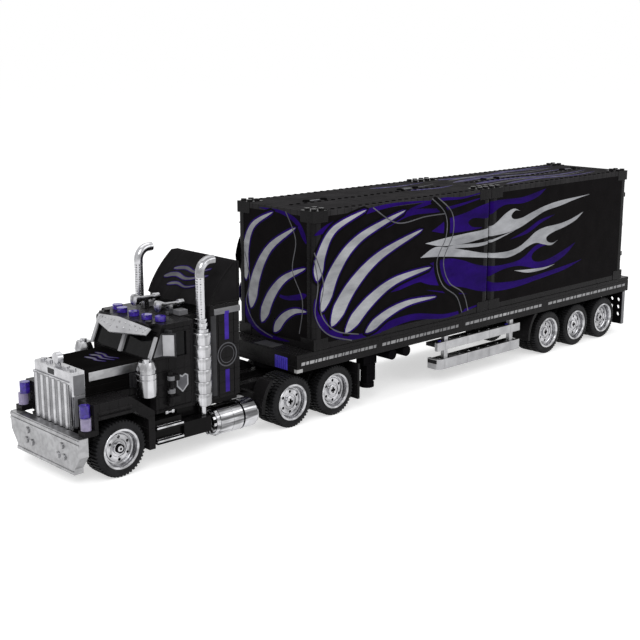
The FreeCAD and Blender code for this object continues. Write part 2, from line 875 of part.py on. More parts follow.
def air_horns():
    """Trumpet with a wide bell in front and a thicker sound box behind, on its foot."""
    outline = [(0, 0), (0, 4.6), (2.0, 4.4), (7.0, 2.2), (19.0, 1.6), (19.0, 2.8), (23.6, 2.8), (23.6, 0)]
    horn = turned(outline, (horn_x, horn_y, horn_z), (0, 1, 0), (0, 0, 1))
    foot = block(horn_x - horn_foot / 2, horn_x + horn_foot / 2, horn_foot_y, horn_foot_y + horn_foot,
                 cab_top + rest_gap, horn_z)
    return pair(join([horn, foot]))


def air_cleaners():
    """Round canister with a stepped lid, held by an arm from the bonnet's side."""
    r = cleaner_r
    cap = cleaner_cap_r
    outline = [
        (0, 0), (0, r - 0.6), (1.4, r), (cleaner_h - 12.4, r), (cleaner_h - 5.8, r - 2.6),
        (cleaner_h - 5.8, cap), (cleaner_h, cap), (cleaner_h, 0),
    ]
    shape = turned(outline, (cleaner_x, cleaner_y, cleaner_z0), (0, 0, 1), (0, 1, 0))
    arm = block(nose_half + rest_gap, cleaner_x - r + 1, cleaner_y - 1.6, cleaner_y + 1.6,
                cleaner_arm_z, cleaner_arm_z + wall)
    return pair(join([shape, arm]))


def mirrors():
    """Upright mirror turned half outward, hung from an arm at the top of the pillar."""
    high = mirror_z0 + mirror_h
    plate = block(-mirror_t / 2, mirror_t / 2, -mirror_w / 2, mirror_w / 2, mirror_z0, high)
    plate.rotate(V(0, 0, 0), V(0, 0, 1), -45.0)
    plate.translate(V(mirror_x, mirror_y, 0))
    arm = block(cab_half + rest_gap, mirror_x, hinge_y - 3.0, hinge_y - seam, high - 1, high + 2)
    return pair(join([plate, arm]))


def cab_interior():
    """Two seats, the dash and the steering wheel that show through the glass."""
    shapes = []
    back_y = seat_y1 - seat_back_t
    for x in (-seat_x, seat_x):
        x0 = x - seat_half
        x1 = x + seat_half
        seat = block(x0, x1, seat_y0, seat_y1 - 1, cab_floor_z, cab_floor_z + seat_h)
        back = block(x0, x1, back_y, seat_y1, cab_floor_z + 1, cab_floor_z + seat_back_h)
        shapes.append(join([seat, back]))
    dash_y0 = cab_front_y + wall
    dash_y1 = dash_y0 + dash_d
    dash_half = cab_half - cab_corner - wall
    dash = block(-dash_half, dash_half, dash_y0, dash_y1, dash_z0, dash_z1)
    middle = (dash_z0 + dash_z1) / 2
    lean = V(0, 0.8, 0.6)
    column = Part.makeCylinder(column_r, column_len, V(seat_x, dash_y1 - 1, middle), lean)
    hub = V(seat_x, dash_y1 - 1, middle) + lean * (column_len - 1)
    wheel = Part.makeCylinder(steering_r, glass_t, hub, lean)
    shapes.append(join([dash, column, wheel]))
    return shapes


def sleeper():
    """Sleeping cabin with rounded corners, open in front to the way from the cab."""
    outer = block(-cab_half, cab_half, sleeper_y0, sleeper_y1, sleeper_z0, sleeper_z1)
    corners = [(s * cab_half, y) for s in (-1, 1) for y in (sleeper_y0, sleeper_y1)]
    outer = round_uprights(outer, sleeper_round, corners)
    inner = block(-cab_half + wall, cab_half - wall, sleeper_y0 + wall, sleeper_y1 - wall,
                  cab_floor_z, sleeper_z1 - wall)
    shell = outer.cut(inner)
    shell = shell.cut(block(-way_half, way_half, sleeper_y0 - 1, sleeper_y0 + wall + 1, way_z0, way_z1))
    for s in (-1, 1):
        x0, x1 = sorted((s * (cab_half - groove), s * (cab_half + 1)))
        for step in sleeper_seams:
            y = sleeper_y0 + step
            shell = shell.cut(block(x0, x1, y, y + groove, sleeper_z0 - 1, sleeper_z1 - sleeper_band))
    return shell


# Roof fairing


def arc_wire(half, y_side, bulge, y_rear, z):
    """Outline at one height: front edge curved forward by bulge, straight sides and rear edge."""
    arc = Part.Arc(V(-half, y_side, z), V(0, y_side - bulge, z), V(half, y_side, z)).toShape()
    right = Part.makeLine(V(half, y_side, z), V(half, y_rear, z))
    rear = Part.makeLine(V(half, y_rear, z), V(-half, y_rear, z))
    left = Part.makeLine(V(-half, y_rear, z), V(-half, y_side, z))
    return Part.Wire([arc, right, rear, left])


def fairing_wedge(half, back, lift):
    """Three outlines lofted upward; back and lift shrink it for the hollow inside."""
    z0 = sleeper_z1 + rest_gap
    rear = sleeper_y1 - rest_gap + lift
    return Part.makeLoft([
        arc_wire(half, sleeper_y0 - 1 + back, fairing_bulge, rear, z0 - lift),
        arc_wire(half, fairing_mid_y + back, fairing_mid_bulge, rear, z0 + fairing_mid_h - lift),
        arc_wire(half, fairing_top_y + back, fairing_top_bulge, rear, fairing_top_z - lift),
    ], True, False)


def roof_fairing():
    """Wind deflector: a curved, hollow wedge that rises to the box behind."""
    outer = fairing_wedge(fairing_half, 0.0, 0.0)
    inner = fairing_wedge(fairing_half - fairing_t, fairing_t, fairing_t / 1.5)
    return outer.cut(inner)


# Stacks, tanks and steps


def exhaust():
    """One stack: fluted muffler, collar and a pipe that bends back over the sleeper."""
    star = []
    for i in range(2 * flutes):
        a = math.pi * i / flutes
        r = muffler_d / 2 - (flute_depth if i % 2 else 0)
        star.append((stack_x + r * math.cos(a), stack_y + r * math.sin(a)))
    muffler = prism_z(star, muffler_z0, muffler_z1)
    foot = rod(muffler_d / 2 - flute_depth, (stack_x, stack_y, muffler_z0 - 1), (0, 0, 1), 2)
    collar = rod(muffler_d / 2 - 1, (stack_x, stack_y, muffler_z1 - 1), (0, 0, 1), collar_h + 1)
    riser = Part.makeLine(V(stack_x, stack_y, muffler_z1), V(stack_x, stack_y, elbow_z))
    mid = V(stack_x, stack_y + elbow_r * (1 - math.sqrt(0.5)), elbow_z + elbow_r * math.sqrt(0.5))
    bend_end = V(stack_x, stack_y + elbow_r, elbow_z + elbow_r)
    bend = Part.Arc(V(stack_x, stack_y, elbow_z), mid, bend_end).toShape()
    tip_end = bend_end + V(0, pipe_end, 0)
    path = Part.Wire([riser, bend, Part.makeLine(bend_end, tip_end)])
    ring = Part.Wire(Part.makeCircle(pipe_d / 2, V(stack_x, stack_y, muffler_z1), V(0, 0, 1)))
    pipe = path.makePipeShell([ring], True, False)
    mouth = rod(pipe_bore / 2, (stack_x, tip_end.y + 1, tip_end.z), (0, -1, 0), pipe_end + 1)
    low_z = battery_z0 + battery_h + rest_gap
    lower = rod(tail_pipe_d / 2, (stack_x, stack_y, low_z), (0, 0, 1), muffler_z0 - low_z)
    clamps = []
    for step in (clamp_low, clamp_high):
        z = muffler_z0 + step
        clamps.append(block(pass_half + rest_gap, stack_x, stack_y - 2.0, stack_y + 2.0, z, z + clamp_h))
    return join([muffler, foot, collar, pipe, lower] + clamps).cut(mouth)


def fuel_tank():
    """Ringed tank with stepped ends, lying along the frame on two straps."""
    n = tank_len
    r = tank_r
    e = tank_nose
    ring = tank_ring
    outline = [
        (0, 0), (0, r - e), (2.0, r - e), (2.0, r - 2.0), (5.0, r - 0.8), (17.0, r - 0.8), (17.0, r),
        (17.0 + ring, r), (17.0 + ring, r - 0.8), (n - 17.0, r - 0.8), (n - 17.0, r - ring),
        (n - 15.4, r - ring), (n - 15.4, r), (n - e, r), (n - 4.0, r - 2.0), (n - 4.0, ring),
        (n, ring), (n, 0),
    ]
    tank = turned(outline, (tank_x, tank_y0, tank_z), (0, 1, 0), (0, 0, 1))
    pieces = [tank]
    strap_z = tank_z + tank_r / 2
    for y in (tank_y0 + 8.0, tank_y1 - 14.0):
        pieces.append(block(rail_out + rest_gap, tank_x, y, y + 5.0, strap_z, strap_z + tank_r / 2 - 2.0))
    return pair(join(pieces))


def side_steps():
    """Step box behind the front wheel, two bright treads and the battery box."""
    well = block(rail_out + rest_gap, step_x, step_y0, step_y1, step_z0, step_z1)
    treads = [block(tread_x, half_w, step_y0 + 0.6, step_y1 - 1, z, z + tread_t) for z in tread_z]
    top = battery_z0 + battery_h
    battery = block(rail_out + rest_gap, battery_x, battery_y0, battery_y1, battery_z0, top)
    return pair(join([well] + treads)) + pair(battery)


# Rear of the tractor


def quarter_fender(y, x0, x1, top):
    """Curved strip ahead of a tyre, cut off level at its top."""
    strip = rod(arch_r, (x0, y, axle_z), (1, 0, 0), x1 - x0)
    strip = strip.cut(rod(arch_r - arch_t, (x0 - 1, y, axle_z), (1, 0, 0), x1 - x0 + 2))
    far = 2 * arch_r
    return strip.common(block(x0 - 1, x1 + 1, y - far, y - arch_t, axle_z - arch_t, top))


def rear_fenders():
    top = side_rail_z0 - seam
    strip = quarter_fender(drive_axle_y, fender_in_x, half_w, top)
    strut_y = drive_axle_y - arch_r
    foot = block(rail_out + rest_gap, fender_in_x + 2, strut_y + 0.4, strut_y + arch_t + 1,
                 rail_z0 + 0.6, rail_z1 - 2)
    flap_y = frame_rear_y - flap_t - 1.6
    flap = block(flap_in_x, half_w, flap_y, flap_y + flap_t, flap_z0, flap_z1)
    arm = block(rail_out + rest_gap, flap_in_x + 10.0, flap_y - 1.6, flap_y + flap_t,
                rail_z0 + 4, rail_z1 + 1)
    return pair(join([strip, foot])) + pair(join([flap, arm]))


def fifth_wheel():
    """Round plate with the bore that the kingpin drops into."""
    top = side_rail_z0 - rest_gap
    plate = rod(coupler_r, (0, kingpin_y, top - coupler_t), (0, 0, 1), coupler_t)
    stand = block(-stand_half, stand_half, kingpin_y - stand_len / 2, kingpin_y + stand_len / 2,
                  rail_z1, top - coupler_t + 1)
    bore = rod(kingpin_d / 2 + run_fit, (0, kingpin_y, rail_z0), (0, 0, 1), 30.0)
    return join([plate, stand]).cut(bore)


# Trailer


def trailer_frame():
    deck = block(-half_w, half_w, deck_y0, tail_y, deck_z0, deck_z1)
    rails = pair(block(half_w - side_rail_t, half_w, deck_y0, tail_y, side_rail_z0, deck_z1))
    nose = block(-half_w, half_w, deck_y0, deck_y0 + side_rail_t, side_rail_z0, deck_z1)
    tail = block(-half_w, half_w, tail_y - side_rail_t, tail_y, side_rail_z0, deck_z1)
    pad = block(-pad_half, pad_half, kingpin_y - pad_front, kingpin_y + pad_rear, side_rail_z0, deck_z0 + 1)
    spine = block(-spine_half, spine_half, kingpin_y + pad_rear - 1, tail_y - 1, side_rail_z0, deck_z0 + 1)
    pin = rod(kingpin_d / 2, (0, kingpin_y, rail_z1 + 1), (0, 0, 1), stud)
    beam = block(-rail_out, rail_out, trailer_axle_y - bogie_reach,
                 trailer_axle_y + 2 * axle_pitch + bogie_reach, side_rail_z0 - bogie_t, side_rail_z0 + 1)
    pieces = [deck, nose, tail, pad, spine, pin, beam] + rails
    for i in range(3):
        pieces += pair(hanger(trailer_axle_y + i * axle_pitch, side_rail_z0 - bogie_t + 1))
    whole = join(pieces)
    line_z = deck_z1 - deck_line
    for s in (-1, 1):
        x0, x1 = sorted((s * (half_w - face_in), s * (half_w + 1)))
        whole = whole.cut(block(x0, x1, deck_y0 - 1, tail_y + 1, line_z, line_z + groove))
    return whole


def landing_gear():
    """Leg with a toothed-wheel housing, its crank box and a round foot."""
    g = gear_half
    leg = block(gear_x - g, gear_x + g, gear_y - g, gear_y + g, gear_z0, side_rail_z0 + 1)
    head = block(gear_x - g, gear_x + g, gear_y - 2 * g, gear_y + 2 * g,
                 side_rail_z0 - rack_h, deck_z0 - rest_gap)
    crank = block(gear_x - g - wall, gear_x - g + 1, gear_y - 1.5 * g, gear_y + 1.5 * g,
                  gear_z0 + rack_h, gear_z0 + 2 * rack_h)
    rack = rod(rack_r, (gear_x, gear_y + g, gear_z0 + 2), (0, 0, 1), 2 * rack_h)
    foot = rod(foot_r, (gear_x, gear_y, gear_z0 - foot_h), (0, 0, 1), foot_h + 0.6)
    return pair(join([leg, head, crank, rack, foot]))


def air_tanks():
    end = half_w - 2.0
    z = side_rail_z0 - rest_gap - air_tank_r
    return [rod(air_tank_r, (-end, y, z), (1, 0, 0), 2 * end) for y in tank_row]


def side_skirts():
    """Two shelves a side with a long panel on each edge; the lower panel turns inward in front."""
    low, high = skirt_z
    low_h, high_h = skirt_h
    y0 = skirt_y0 + skirt_nose
    x0 = half_w - skirt_t
    inner = half_w - skirt_in
    outer = block(inner, half_w, y0, skirt_y1, low, low + low_h)
    outer = round_uprights(outer, skirt_round, [(half_w, y0)])
    room = block(inner - 1, x0, y0 + skirt_t, skirt_y1 + 1, low - 1, low + low_h + 1)
    room = round_uprights(room, skirt_round - skirt_t, [(x0, y0 + skirt_t)])
    upper = block(x0, half_w, skirt_y0, skirt_y1, high, high + high_h)
    shelves = []
    for front, top in ((y0 + skirt_t - 1, low + low_h), (skirt_y0, high + high_h)):
        shelves.append(block(inner, x0 + 1, front, skirt_y1, top - shelf_down - wall, top - shelf_down))
    pieces = [outer.cut(room), upper] + shelves
    for y in (skirt_y0 + skirt_post_in, skirt_y1 - skirt_post_out - skirt_post):
        pieces.append(block(x0 - skirt_t, x0 + 0.8, y, y + skirt_post, low + 0.4, side_rail_z0 - rest_gap))
    return pair(join(pieces))


def trailer_fenders():
    return pair(quarter_fender(trailer_axle_y, rail_out + skirt_post, half_w, side_rail_z0 - rest_gap))


def tail_panel():
    """Mud flap pierced by two rows of round holes near its outer edge."""
    y1 = tail_y - tail_flap_in
    flap = block(tail_flap_x, half_w, y1 - tail_flap_t, y1, flap_z0, side_rail_z0 - rest_gap)
    for i in range(2):
        for j in range(3):
            spot = (half_w - stud * (i + 0.75), y1 - tail_flap_t - 1, flap_z0 + stud * (j + 1.25))
            flap = flap.cut(rod(flap_hole_r, spot, (0, 1, 0), tail_flap_t + 2))
    return pair(flap)


# Containers


def container_corner(ya, edge):
    """Left castings and rounded post; ya starts the castings and edge is the post's free side in y."""
    z0 = deck_z1
    z1 = deck_z1 + box_h
    yb = ya + casting
    low = block(half_w - casting, half_w, ya, yb, z0 + rest_gap, z0 + brick_h)
    high = block(half_w - casting, half_w, ya, yb, z1 - brick_h, z1)
    y0, y1 = sorted((edge, edge + post if edge == ya else edge - post))
    upright = block(half_w - post, wheel_face_x, y0, y1, z0 + 1, z1 - 1)
    upright = round_uprights(upright, post_round, [(wheel_face_x, edge)])
    spots = [(half_w - stud * (i + 0.5), ya + stud * (j + 0.5)) for i in range(2) for j in range(2)]
    studs = [stud_on(x, y, z1) for x, y in spots]
    return [low, high, upright] + studs


def container_posts(y0, hinged):
    """Corner castings joined by upright posts, with studs on the top castings."""
    y1 = y0 + box_len
    shapes = pair(join(container_corner(y0, y0)))
    rear = container_corner(y1 - casting, y1)
    if hinged:
        shapes.append(join(rear + rear_hinge_bars(1)))
        shapes.append(join([mirror(piece) for piece in rear] + rear_hinge_bars(-1)))
    else:
        shapes += pair(join(rear))
    return shapes


def corner_holes(y0, z0, z1):
    """Room for the four castings of the box that starts at y0."""
    cuts = []
    near = half_w - casting - panel_fit
    for s in (-1, 1):
        for ya in (y0 - panel_fit, y0 + box_len - casting - panel_fit):
            x0, x1 = sorted((s * near, s * (half_w + 1)))
            cuts.append(block(x0, x1, ya, ya + casting + 2 * panel_fit, z0, z1))
    return Part.makeCompound(cuts)


def container_base(y0):
    z0 = deck_z1 + rest_gap
    end = y0 + box_len - face_in
    floor = block(-wheel_face_x, wheel_face_x, y0 + face_in, end, z0, z0 + base_t)
    return floor.cut(corner_holes(y0, z0 - 1, z0 + base_t + 1))


def container_roof(y0):
    z1 = deck_z1 + box_h
    end = y0 + box_len - face_in
    panel = block(-wheel_face_x, wheel_face_x, y0 + face_in, end, z1 - roof_t, z1 - roof_in)
    return panel.cut(corner_holes(y0, z1 - roof_t - 1, z1 + 1))


def wall_range():
    return deck_z1 + rest_gap + base_t + panel_fit, deck_z1 + box_h - roof_t - panel_fit


def clear_castings(panel, y0):
    z0, z1 = wall_range()
    panel = panel.cut(corner_holes(y0, z0 - 1, deck_z1 + brick_h + panel_fit))
    return panel.cut(corner_holes(y0, deck_z1 + box_h - brick_h - panel_fit, z1 + 1))


def container_sides(y0):
    z0, z1 = wall_range()
    start = y0 + post + panel_fit
    end = y0 + box_len - post - panel_fit
    side = block(wheel_face_x - box_panel, wheel_face_x, start, end, z0, z1)
    return pair(clear_castings(side, y0))


def end_wall(start, box_start):
    z0, z1 = wall_range()
    reach = half_w - post - panel_fit
    return clear_castings(block(-reach, reach, start, start + box_panel, z0, z1), box_start)


def front_box_ends():
    y1 = box_y0 + box_len
    return [end_wall(box_y0 + face_in, box_y0), end_wall(y1 - face_in - box_panel, box_y0)]


def rear_box_y():
    return box_y0 + box_len + box_gap


def rear_box_front():
    return end_wall(rear_box_y() + face_in, rear_box_y())


def rear_hinge_bars(s):
    """Upright bar behind the rear corner post, on three lugs."""
    y1 = rear_box_y() + box_len
    low = deck_z1 + brick_h
    high = deck_z1 + box_h - brick_h
    pieces = [rod(rear_pin_d / 2, (s * rear_hinge_x, y1 + rear_hinge_out, low), (0, 0, 1), high - low)]
    for z in (low, (low + high - wall) / 2, high - wall):
        x0, x1 = sorted((s * (half_w - post + seam), s * (rear_hinge_x + 1.4)))
        pieces.append(block(x0, x1, y1 - 0.5, y1 + rear_hinge_out + 0.4, z, z + wall))
    return pieces


def rear_door():
    """Left rear door with its lock rods and the clips that turn on the hinge bar."""
    y1 = rear_box_y() + box_len
    z0 = deck_z1 + brick_h + rest_gap
    z1 = deck_z1 + box_h - brick_h - rest_gap
    edge = half_w - post - seam
    pieces = [block(seam / 2, edge, y1 - box_panel, y1, z0, z1)]
    pieces += [rod(lock_rod_r, (x, y1 + 0.8, z0 + 2), (0, 0, 1), z1 - z0 - 4) for x in lock_rod_x]
    axis_y = y1 + rear_hinge_out
    for z in (z0 + rear_clip_in, z1 - rear_clip_in - clip_h):
        pieces.append(rod(rear_clip_r, (rear_hinge_x, axis_y, z), (0, 0, 1), clip_h))
        pieces.append(block(edge - 5.0, edge, y1 - 0.4, axis_y + 1, z, z + clip_h))
        pieces.append(block(edge - 1, rear_hinge_x, axis_y - 1.6, axis_y + 1, z, z + clip_h))
    bore = rod(rear_pin_d / 2 + run_fit, (rear_hinge_x, axis_y, z0), (0, 0, 1), z1 - z0)
    return join(pieces).cut(bore)


def build():
    os.makedirs("parts", exist_ok=True)
    save("chassis", chassis())
    save("bumper", bumper())
    save("grille", grille())
    save("bonnet", bonnet())
    save("headlamps", headlamps())
    save("front_fenders", pair(front_fender()))
    save("front_axle", front_axle())
    save("knuckle_left", knuckle())
    save("knuckle_right", mirror(knuckle()))
    save("front_rim_left", front_rim())
    save("front_tyre_left", tyre(wheel_face_x, front_tyre_w, 0))
    save("front_rim_right", mirror(front_rim()))
    save("front_tyre_right", mirror(tyre(wheel_face_x, front_tyre_w, 0)))
    for name, first, count in (("drive", drive_axle_y, 2), ("trailer", trailer_axle_y, 3)):
        for i in range(count):
            metal, rubber = wheelset(first + i * axle_pitch)
            save("%s_rims_%d" % (name, i + 1), metal)
            save("%s_tyres_%d" % (name, i + 1), rubber)
    save("cab_shell", cab_shell())
    save("door_left", door())
    save("door_right", mirror(door()))
    save("door_glass_left", door_glass())
    save("door_glass_right", mirror(door_glass()))
    save("windscreen", windscreen())
    save("screen_trim", screen_trim())
    save("roof_lamps", roof_lamps())
    save("air_horns", air_horns())
    save("air_cleaners", air_cleaners())
    save("mirrors", mirrors())
    save("cab_interior", cab_interior())
    save("sleeper", sleeper())
    save("roof_fairing", roof_fairing())
    save("exhaust_stacks", pair(exhaust()))
    save("fuel_tanks", fuel_tank())
    save("side_steps", side_steps())
    save("rear_fenders", rear_fenders())
    save("fifth_wheel", fifth_wheel())
    save("trailer_frame", trailer_frame())
    save("landing_gear", landing_gear())
    save("air_tanks", air_tanks())
    save("side_skirts", side_skirts())
    save("trailer_fenders", trailer_fenders())
    save("tail_panel", tail_panel())
    for name, y0 in (("front_box", box_y0), ("rear_box", rear_box_y())):
        save(name + "_base", container_base(y0))
        save(name + "_sides", container_sides(y0))
        save(name + "_roof", container_roof(y0))
        save(name + "_posts", container_posts(y0, name == "rear_box"))
    save("front_box_ends", front_box_ends())
    save("rear_box_front", rear_box_front())
    save("rear_door_left", rear_door())
    save("rear_door_right", mirror(rear_door()))


build()
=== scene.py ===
import json
import math

import bmesh
import bpy
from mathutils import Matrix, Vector
from mathutils.geometry import delaunay_2d_cdt


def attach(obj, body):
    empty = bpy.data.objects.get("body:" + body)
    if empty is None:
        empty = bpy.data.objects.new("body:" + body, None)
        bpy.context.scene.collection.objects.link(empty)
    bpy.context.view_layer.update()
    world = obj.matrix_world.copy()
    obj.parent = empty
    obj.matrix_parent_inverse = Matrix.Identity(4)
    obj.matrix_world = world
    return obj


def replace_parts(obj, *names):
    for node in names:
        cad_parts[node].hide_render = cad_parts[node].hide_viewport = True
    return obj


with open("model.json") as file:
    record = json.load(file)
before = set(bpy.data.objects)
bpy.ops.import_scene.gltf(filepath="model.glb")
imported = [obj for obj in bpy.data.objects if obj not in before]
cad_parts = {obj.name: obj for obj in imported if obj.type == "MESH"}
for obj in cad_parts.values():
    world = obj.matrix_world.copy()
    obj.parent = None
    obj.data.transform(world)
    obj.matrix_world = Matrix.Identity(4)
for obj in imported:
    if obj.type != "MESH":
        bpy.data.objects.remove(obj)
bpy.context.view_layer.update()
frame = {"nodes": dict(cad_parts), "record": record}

# Toy articulated lorry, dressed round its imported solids. Lengths are in millimetres with the front axle at
# y = 0, unless a comment or the name of a socket says otherwise; P() turns them into metres in the frame.
CENTRE_Y = 306.8
MM = 0.001
nodes = frame["nodes"]
scene = bpy.context.scene

# Places that materials and pieces share with the solids
PLATE_Y = (-26.9 - CENTRE_Y) * MM
SKIRT_IN = 44.7
LAMP_Z = 49.95
SHELF_Z = ((19.2, 22.8), (35.6, 39.2))
WHEEL_R = 21.5
SEAT_R = 14.25
RIM_R = 15.2
FACE_X = 47.6
TWIN_W = 13.4
FRONT_W = 20.0
TWIN_STEP = 14.2
DRIVE_Y = (165.4, 213.4)
TRAILER_Y = (510.0, 558.0, 606.0)
DECK_Z = 60.0
ROOF_Z = 174.8
SIDE_X = 47.6
SIDE_TOP = 174.4
JOIN_Y = 412.0
END_Y = 188.4
RAIL_X = 48.0
CAB_X = 40.0
FAIRING_X = 39.5
BONNET_Z = 79.0
TANK_X, TANK_Z = 36.0, 20.0
STACK_X, STACK_Y = 39.8, 79.6
ALONG_Y, ALONG_Z = (0, 1, 0), (0, 0, 1)

# Light: glow of the floor as the camera sees it, and strength of the sky for the light it gives
FLOOR_HALF = 14.0
FLOOR_LIFT = 0.56
WORLD_LEVEL = 0.55


def P(x, y, z):
    return Vector((x * MM, (y - CENTRE_Y) * MM, z * MM))


# Materials

class Tree:
    """Short calls for building a node tree."""

    def __init__(self, nt):
        self.nt = nt

    def put(self, socket, value):
        if isinstance(value, bpy.types.NodeSocket):
            self.nt.links.new(value, socket)
        else:
            socket.default_value = value

    def add(self, kind, inputs=None, **settings):
        """New node with its settings, then its inputs as values or linked outputs."""
        n = self.nt.nodes.new(kind if "Node" in kind else "ShaderNode" + kind)
        for k, v in settings.items():
            setattr(n, k, v)
        for k, v in (inputs or {}).items():
            self.put(n.inputs[k], v)
        return n

    def math(self, op, *values, clamp=False):
        return self.add("Math", dict(enumerate(values)), operation=op, use_clamp=clamp).outputs[0]

    def times(self, a, b):
        return self.math("MULTIPLY", a, b)

    def below(self, value, limit):
        return self.math("LESS_THAN", value, limit)

    def span(self, value, low, high, a=0, b=1):
        """The value's range from low to high, turned into a to b."""
        inputs = {"Value": value, "From Min": low, "From Max": high, "To Min": a, "To Max": b}
        return self.add("MapRange", inputs).outputs["Result"]

    def mix(self, factor, a, b):
        return self.add("Mix", {"Factor": factor, "A": a, "B": b}, data_type="RGBA").outputs["Result"]


class Look(Tree):
    """Node tree of a material, with what the materials have in common."""

    INPUTS = {"specular": "Specular IOR Level", "metallic": "Metallic", "ior": "IOR",
              "clear": "Transmission Weight"}

    def __init__(self, name):
        self.mat = bpy.data.materials.new(name)
        self.mat.use_nodes = True
        super().__init__(self.mat.node_tree)
        self.coord = self.add("TexCoord").outputs

    def finish(self, color, rough, normal, **more):
        """The material, with these inputs of its Principled node."""
        inputs = {"Base Color": color, "Roughness": rough, "Normal": normal}
        inputs.update((self.INPUTS[k], v) for k, v in more.items())
        for k, v in inputs.items():
            self.put(self.nt.nodes["Principled BSDF"].inputs[k], v)
        return self.mat

    def axes(self, kind="Object"):
        return self.add("SeparateXYZ", {0: self.coord[kind]}).outputs

    def noise(self, scale, detail=3, rough=0.55, stretch=None):
        source = self.coord["Object"]
        if stretch:
            source = self.add("Mapping", {"Scale": stretch, "Vector": source}).outputs["Vector"]
        inputs = {"Scale": scale, "Detail": detail, "Roughness": rough, "Vector": source}
        return self.add("TexNoise", inputs).outputs["Fac"]

    def cloud(self, *noise):
        return self.span(self.noise(*noise), 0.3, 0.7)

    def dots(self, scale, low, high, random=1):
        inputs = {"Scale": scale, "Randomness": random, "Vector": self.coord["Object"]}
        return self.span(self.add("TexVoronoi", inputs).outputs["Distance"], low, high)

    def gloss(self, low, high):
        """Roughness that wanders from low to high."""
        return self.span(self.noise(140, 4), 0.25, 0.75, low, high)

    def bump(self, height, distance, strength, normal=None):
        inputs = {"Distance": distance, "Strength": strength, "Height": height}
        if normal is not None:
            inputs["Normal"] = normal
        return self.add("Bump", inputs).outputs["Normal"]

    def ripples(self, distance=0.00003, radius=0.25):
        """Normal of an uneven metal coat with rounded edges."""
        return self.bump(self.noise(190), distance, 0.7, self.soft_edge(radius))

    def soft_edge(self, radius):
        """Normal that rounds the edges by a radius in mm."""
        return self.add("Bevel", {"Radius": radius * MM}, samples=4).outputs["Normal"]

    def edges(self, radius):
        """1 along edges, fading to 0 at a radius in mm from them."""
        flat = self.add("NewGeometry").outputs["Normal"]
        turn = self.add("VectorMath", {0: self.soft_edge(radius), 1: flat}, operation="DOT_PRODUCT")
        return self.span(turn.outputs["Value"], 0.99, 0.86)

    def seams(self, pitches, width):
        """1 on thin lines where bricks meet; pitches are (axis, pitch, offset) in mm."""
        place, facing = self.axes(), self.axes("Normal")
        total = None
        for axis, pitch, offset in pitches:
            t = self.math("FRACT", self.math("MULTIPLY_ADD", place[axis], 1 / (pitch * MM), -offset / pitch))
            t = self.math("ABSOLUTE", self.math("SUBTRACT", t, 0.5))
            line = self.span(t, 0.5 - width / pitch, 0.5 - 0.3 * width / pitch)
            line = self.times(line, self.below(self.math("ABSOLUTE", facing[axis]), 0.5))
            total = line if total is None else self.math("MAXIMUM", total, line)
        return total


def rgb(r, g, b):
    """Display values 0-255 to a linear colour."""
    def lin(c):
        c = c / 255
        return c / 12.92 if c <= 0.04045 else ((c + 0.055) / 1.055) ** 2.4
    return lin(r), lin(g), lin(b), 1.0


def shade(color, factor, lift=0):
    return tuple(min(1, c * factor + lift) for c in color[:3]) + (1,)


def plastic(name, color, rough, specular, seam=(), seam_w=0.35, rub=0.5):
    """Moulded brick plastic: colour drift, smudged gloss, ripple, fine scratches, painted highlights on the
    edges, and seams.

    seam lists where bricks meet, as Look.seams takes it; seam_w is the width of the lines in mm.
    """
    t = Look(name)
    col = t.mix(t.cloud(60, 4), shade(color, 0.8), shade(color, 1.2, 0.0005))
    scratch = t.span(t.noise(900, 2, 0.5, (1, 0.06, 0.4)), 0.64, 0.72)
    worn = t.times(scratch, t.span(t.noise(35), 0.52, 0.7))
    col = t.mix(t.times(worn, 0.06), col, shade(color, 3, 0.02))
    # Painted highlight: the colour is lightened along the edges, in place of the gloss that rounded edges catch.
    col = t.mix(t.times(t.edges(0.6), rub), col, shade(color, 2, 0.012))
    r = t.span(t.noise(110, 5, 0.6), 0.25, 0.75, rough * 0.75, rough * 1.35)
    normal = t.soft_edge(0.25)
    if seam:
        line = t.seams(seam, seam_w)
        col = t.mix(t.times(line, 0.55), col, (0.002, 0.002, 0.002, 1))
        r = t.math("ADD", r, t.times(line, 0.25), clamp=True)
        normal = t.bump(t.times(line, -1), 0.0003, 0.8, normal)
    height = t.math("ADD", t.times(t.noise(230, 2), 0.6), t.times(worn, -0.3))
    return t.finish(col, r, t.bump(height, 0.00002, 0.6, normal), specular=specular, ior=1.5)


def metal(name, color, rough, reflection_stretch, reflection_depth, ripple=0.00003, scale=240):
    """Metal-coated plastic: painted reflection as dark streaks, small pits and rubbed patches."""
    t = Look(name)
    col = t.mix(t.cloud(70, 5, 0.6), shade(color, 0.72), color)
    # Painted reflection: stretched dark streaks stand in for the dark bands that shiny metal reflects.
    reflection_bands = t.math("SUBTRACT", 1, t.span(t.noise(scale, 2, 0.5, reflection_stretch), 0.40, 0.56), clamp=True)
    col = t.mix(t.times(reflection_bands, reflection_depth), col, shade(color, 0.12))
    pits = t.span(t.noise(1500, 2), 0.68, 0.74)
    col = t.mix(t.times(pits, 0.3), col, (0.12, 0.12, 0.125, 1))
    return t.finish(col, t.gloss(rough * 0.7, rough * 1.4), t.ripples(ripple), metallic=1)


def radiator_metal(name, color):
    """Bright bars on a plate painted dark between them: painted shade, darker the further back it lies. Limits
    in metres.
    """
    t = Look(name)
    place = t.axes()
    # Painted shade: the plate behind the bars, within the grille's outline, darkens towards the back.
    recess_shade = t.span(place["Y"], PLATE_Y - 0.0014, PLATE_Y - 0.0001)
    for value, limit in ((t.math("ABSOLUTE", place["X"]), 0.0246), (place["Z"], 0.0712),
                         (place["Y"], PLATE_Y + 0.0012)):
        recess_shade = t.times(recess_shade, t.below(value, limit))
    col = t.mix(t.cloud(90, 5, 0.6), shade(color, 0.6), color)
    col = t.mix(t.times(recess_shade, 0.93), col, (0.03, 0.03, 0.032, 1))
    return t.finish(col, t.gloss(0.18, 0.36), t.ripples(radius=0.2), metallic=1)


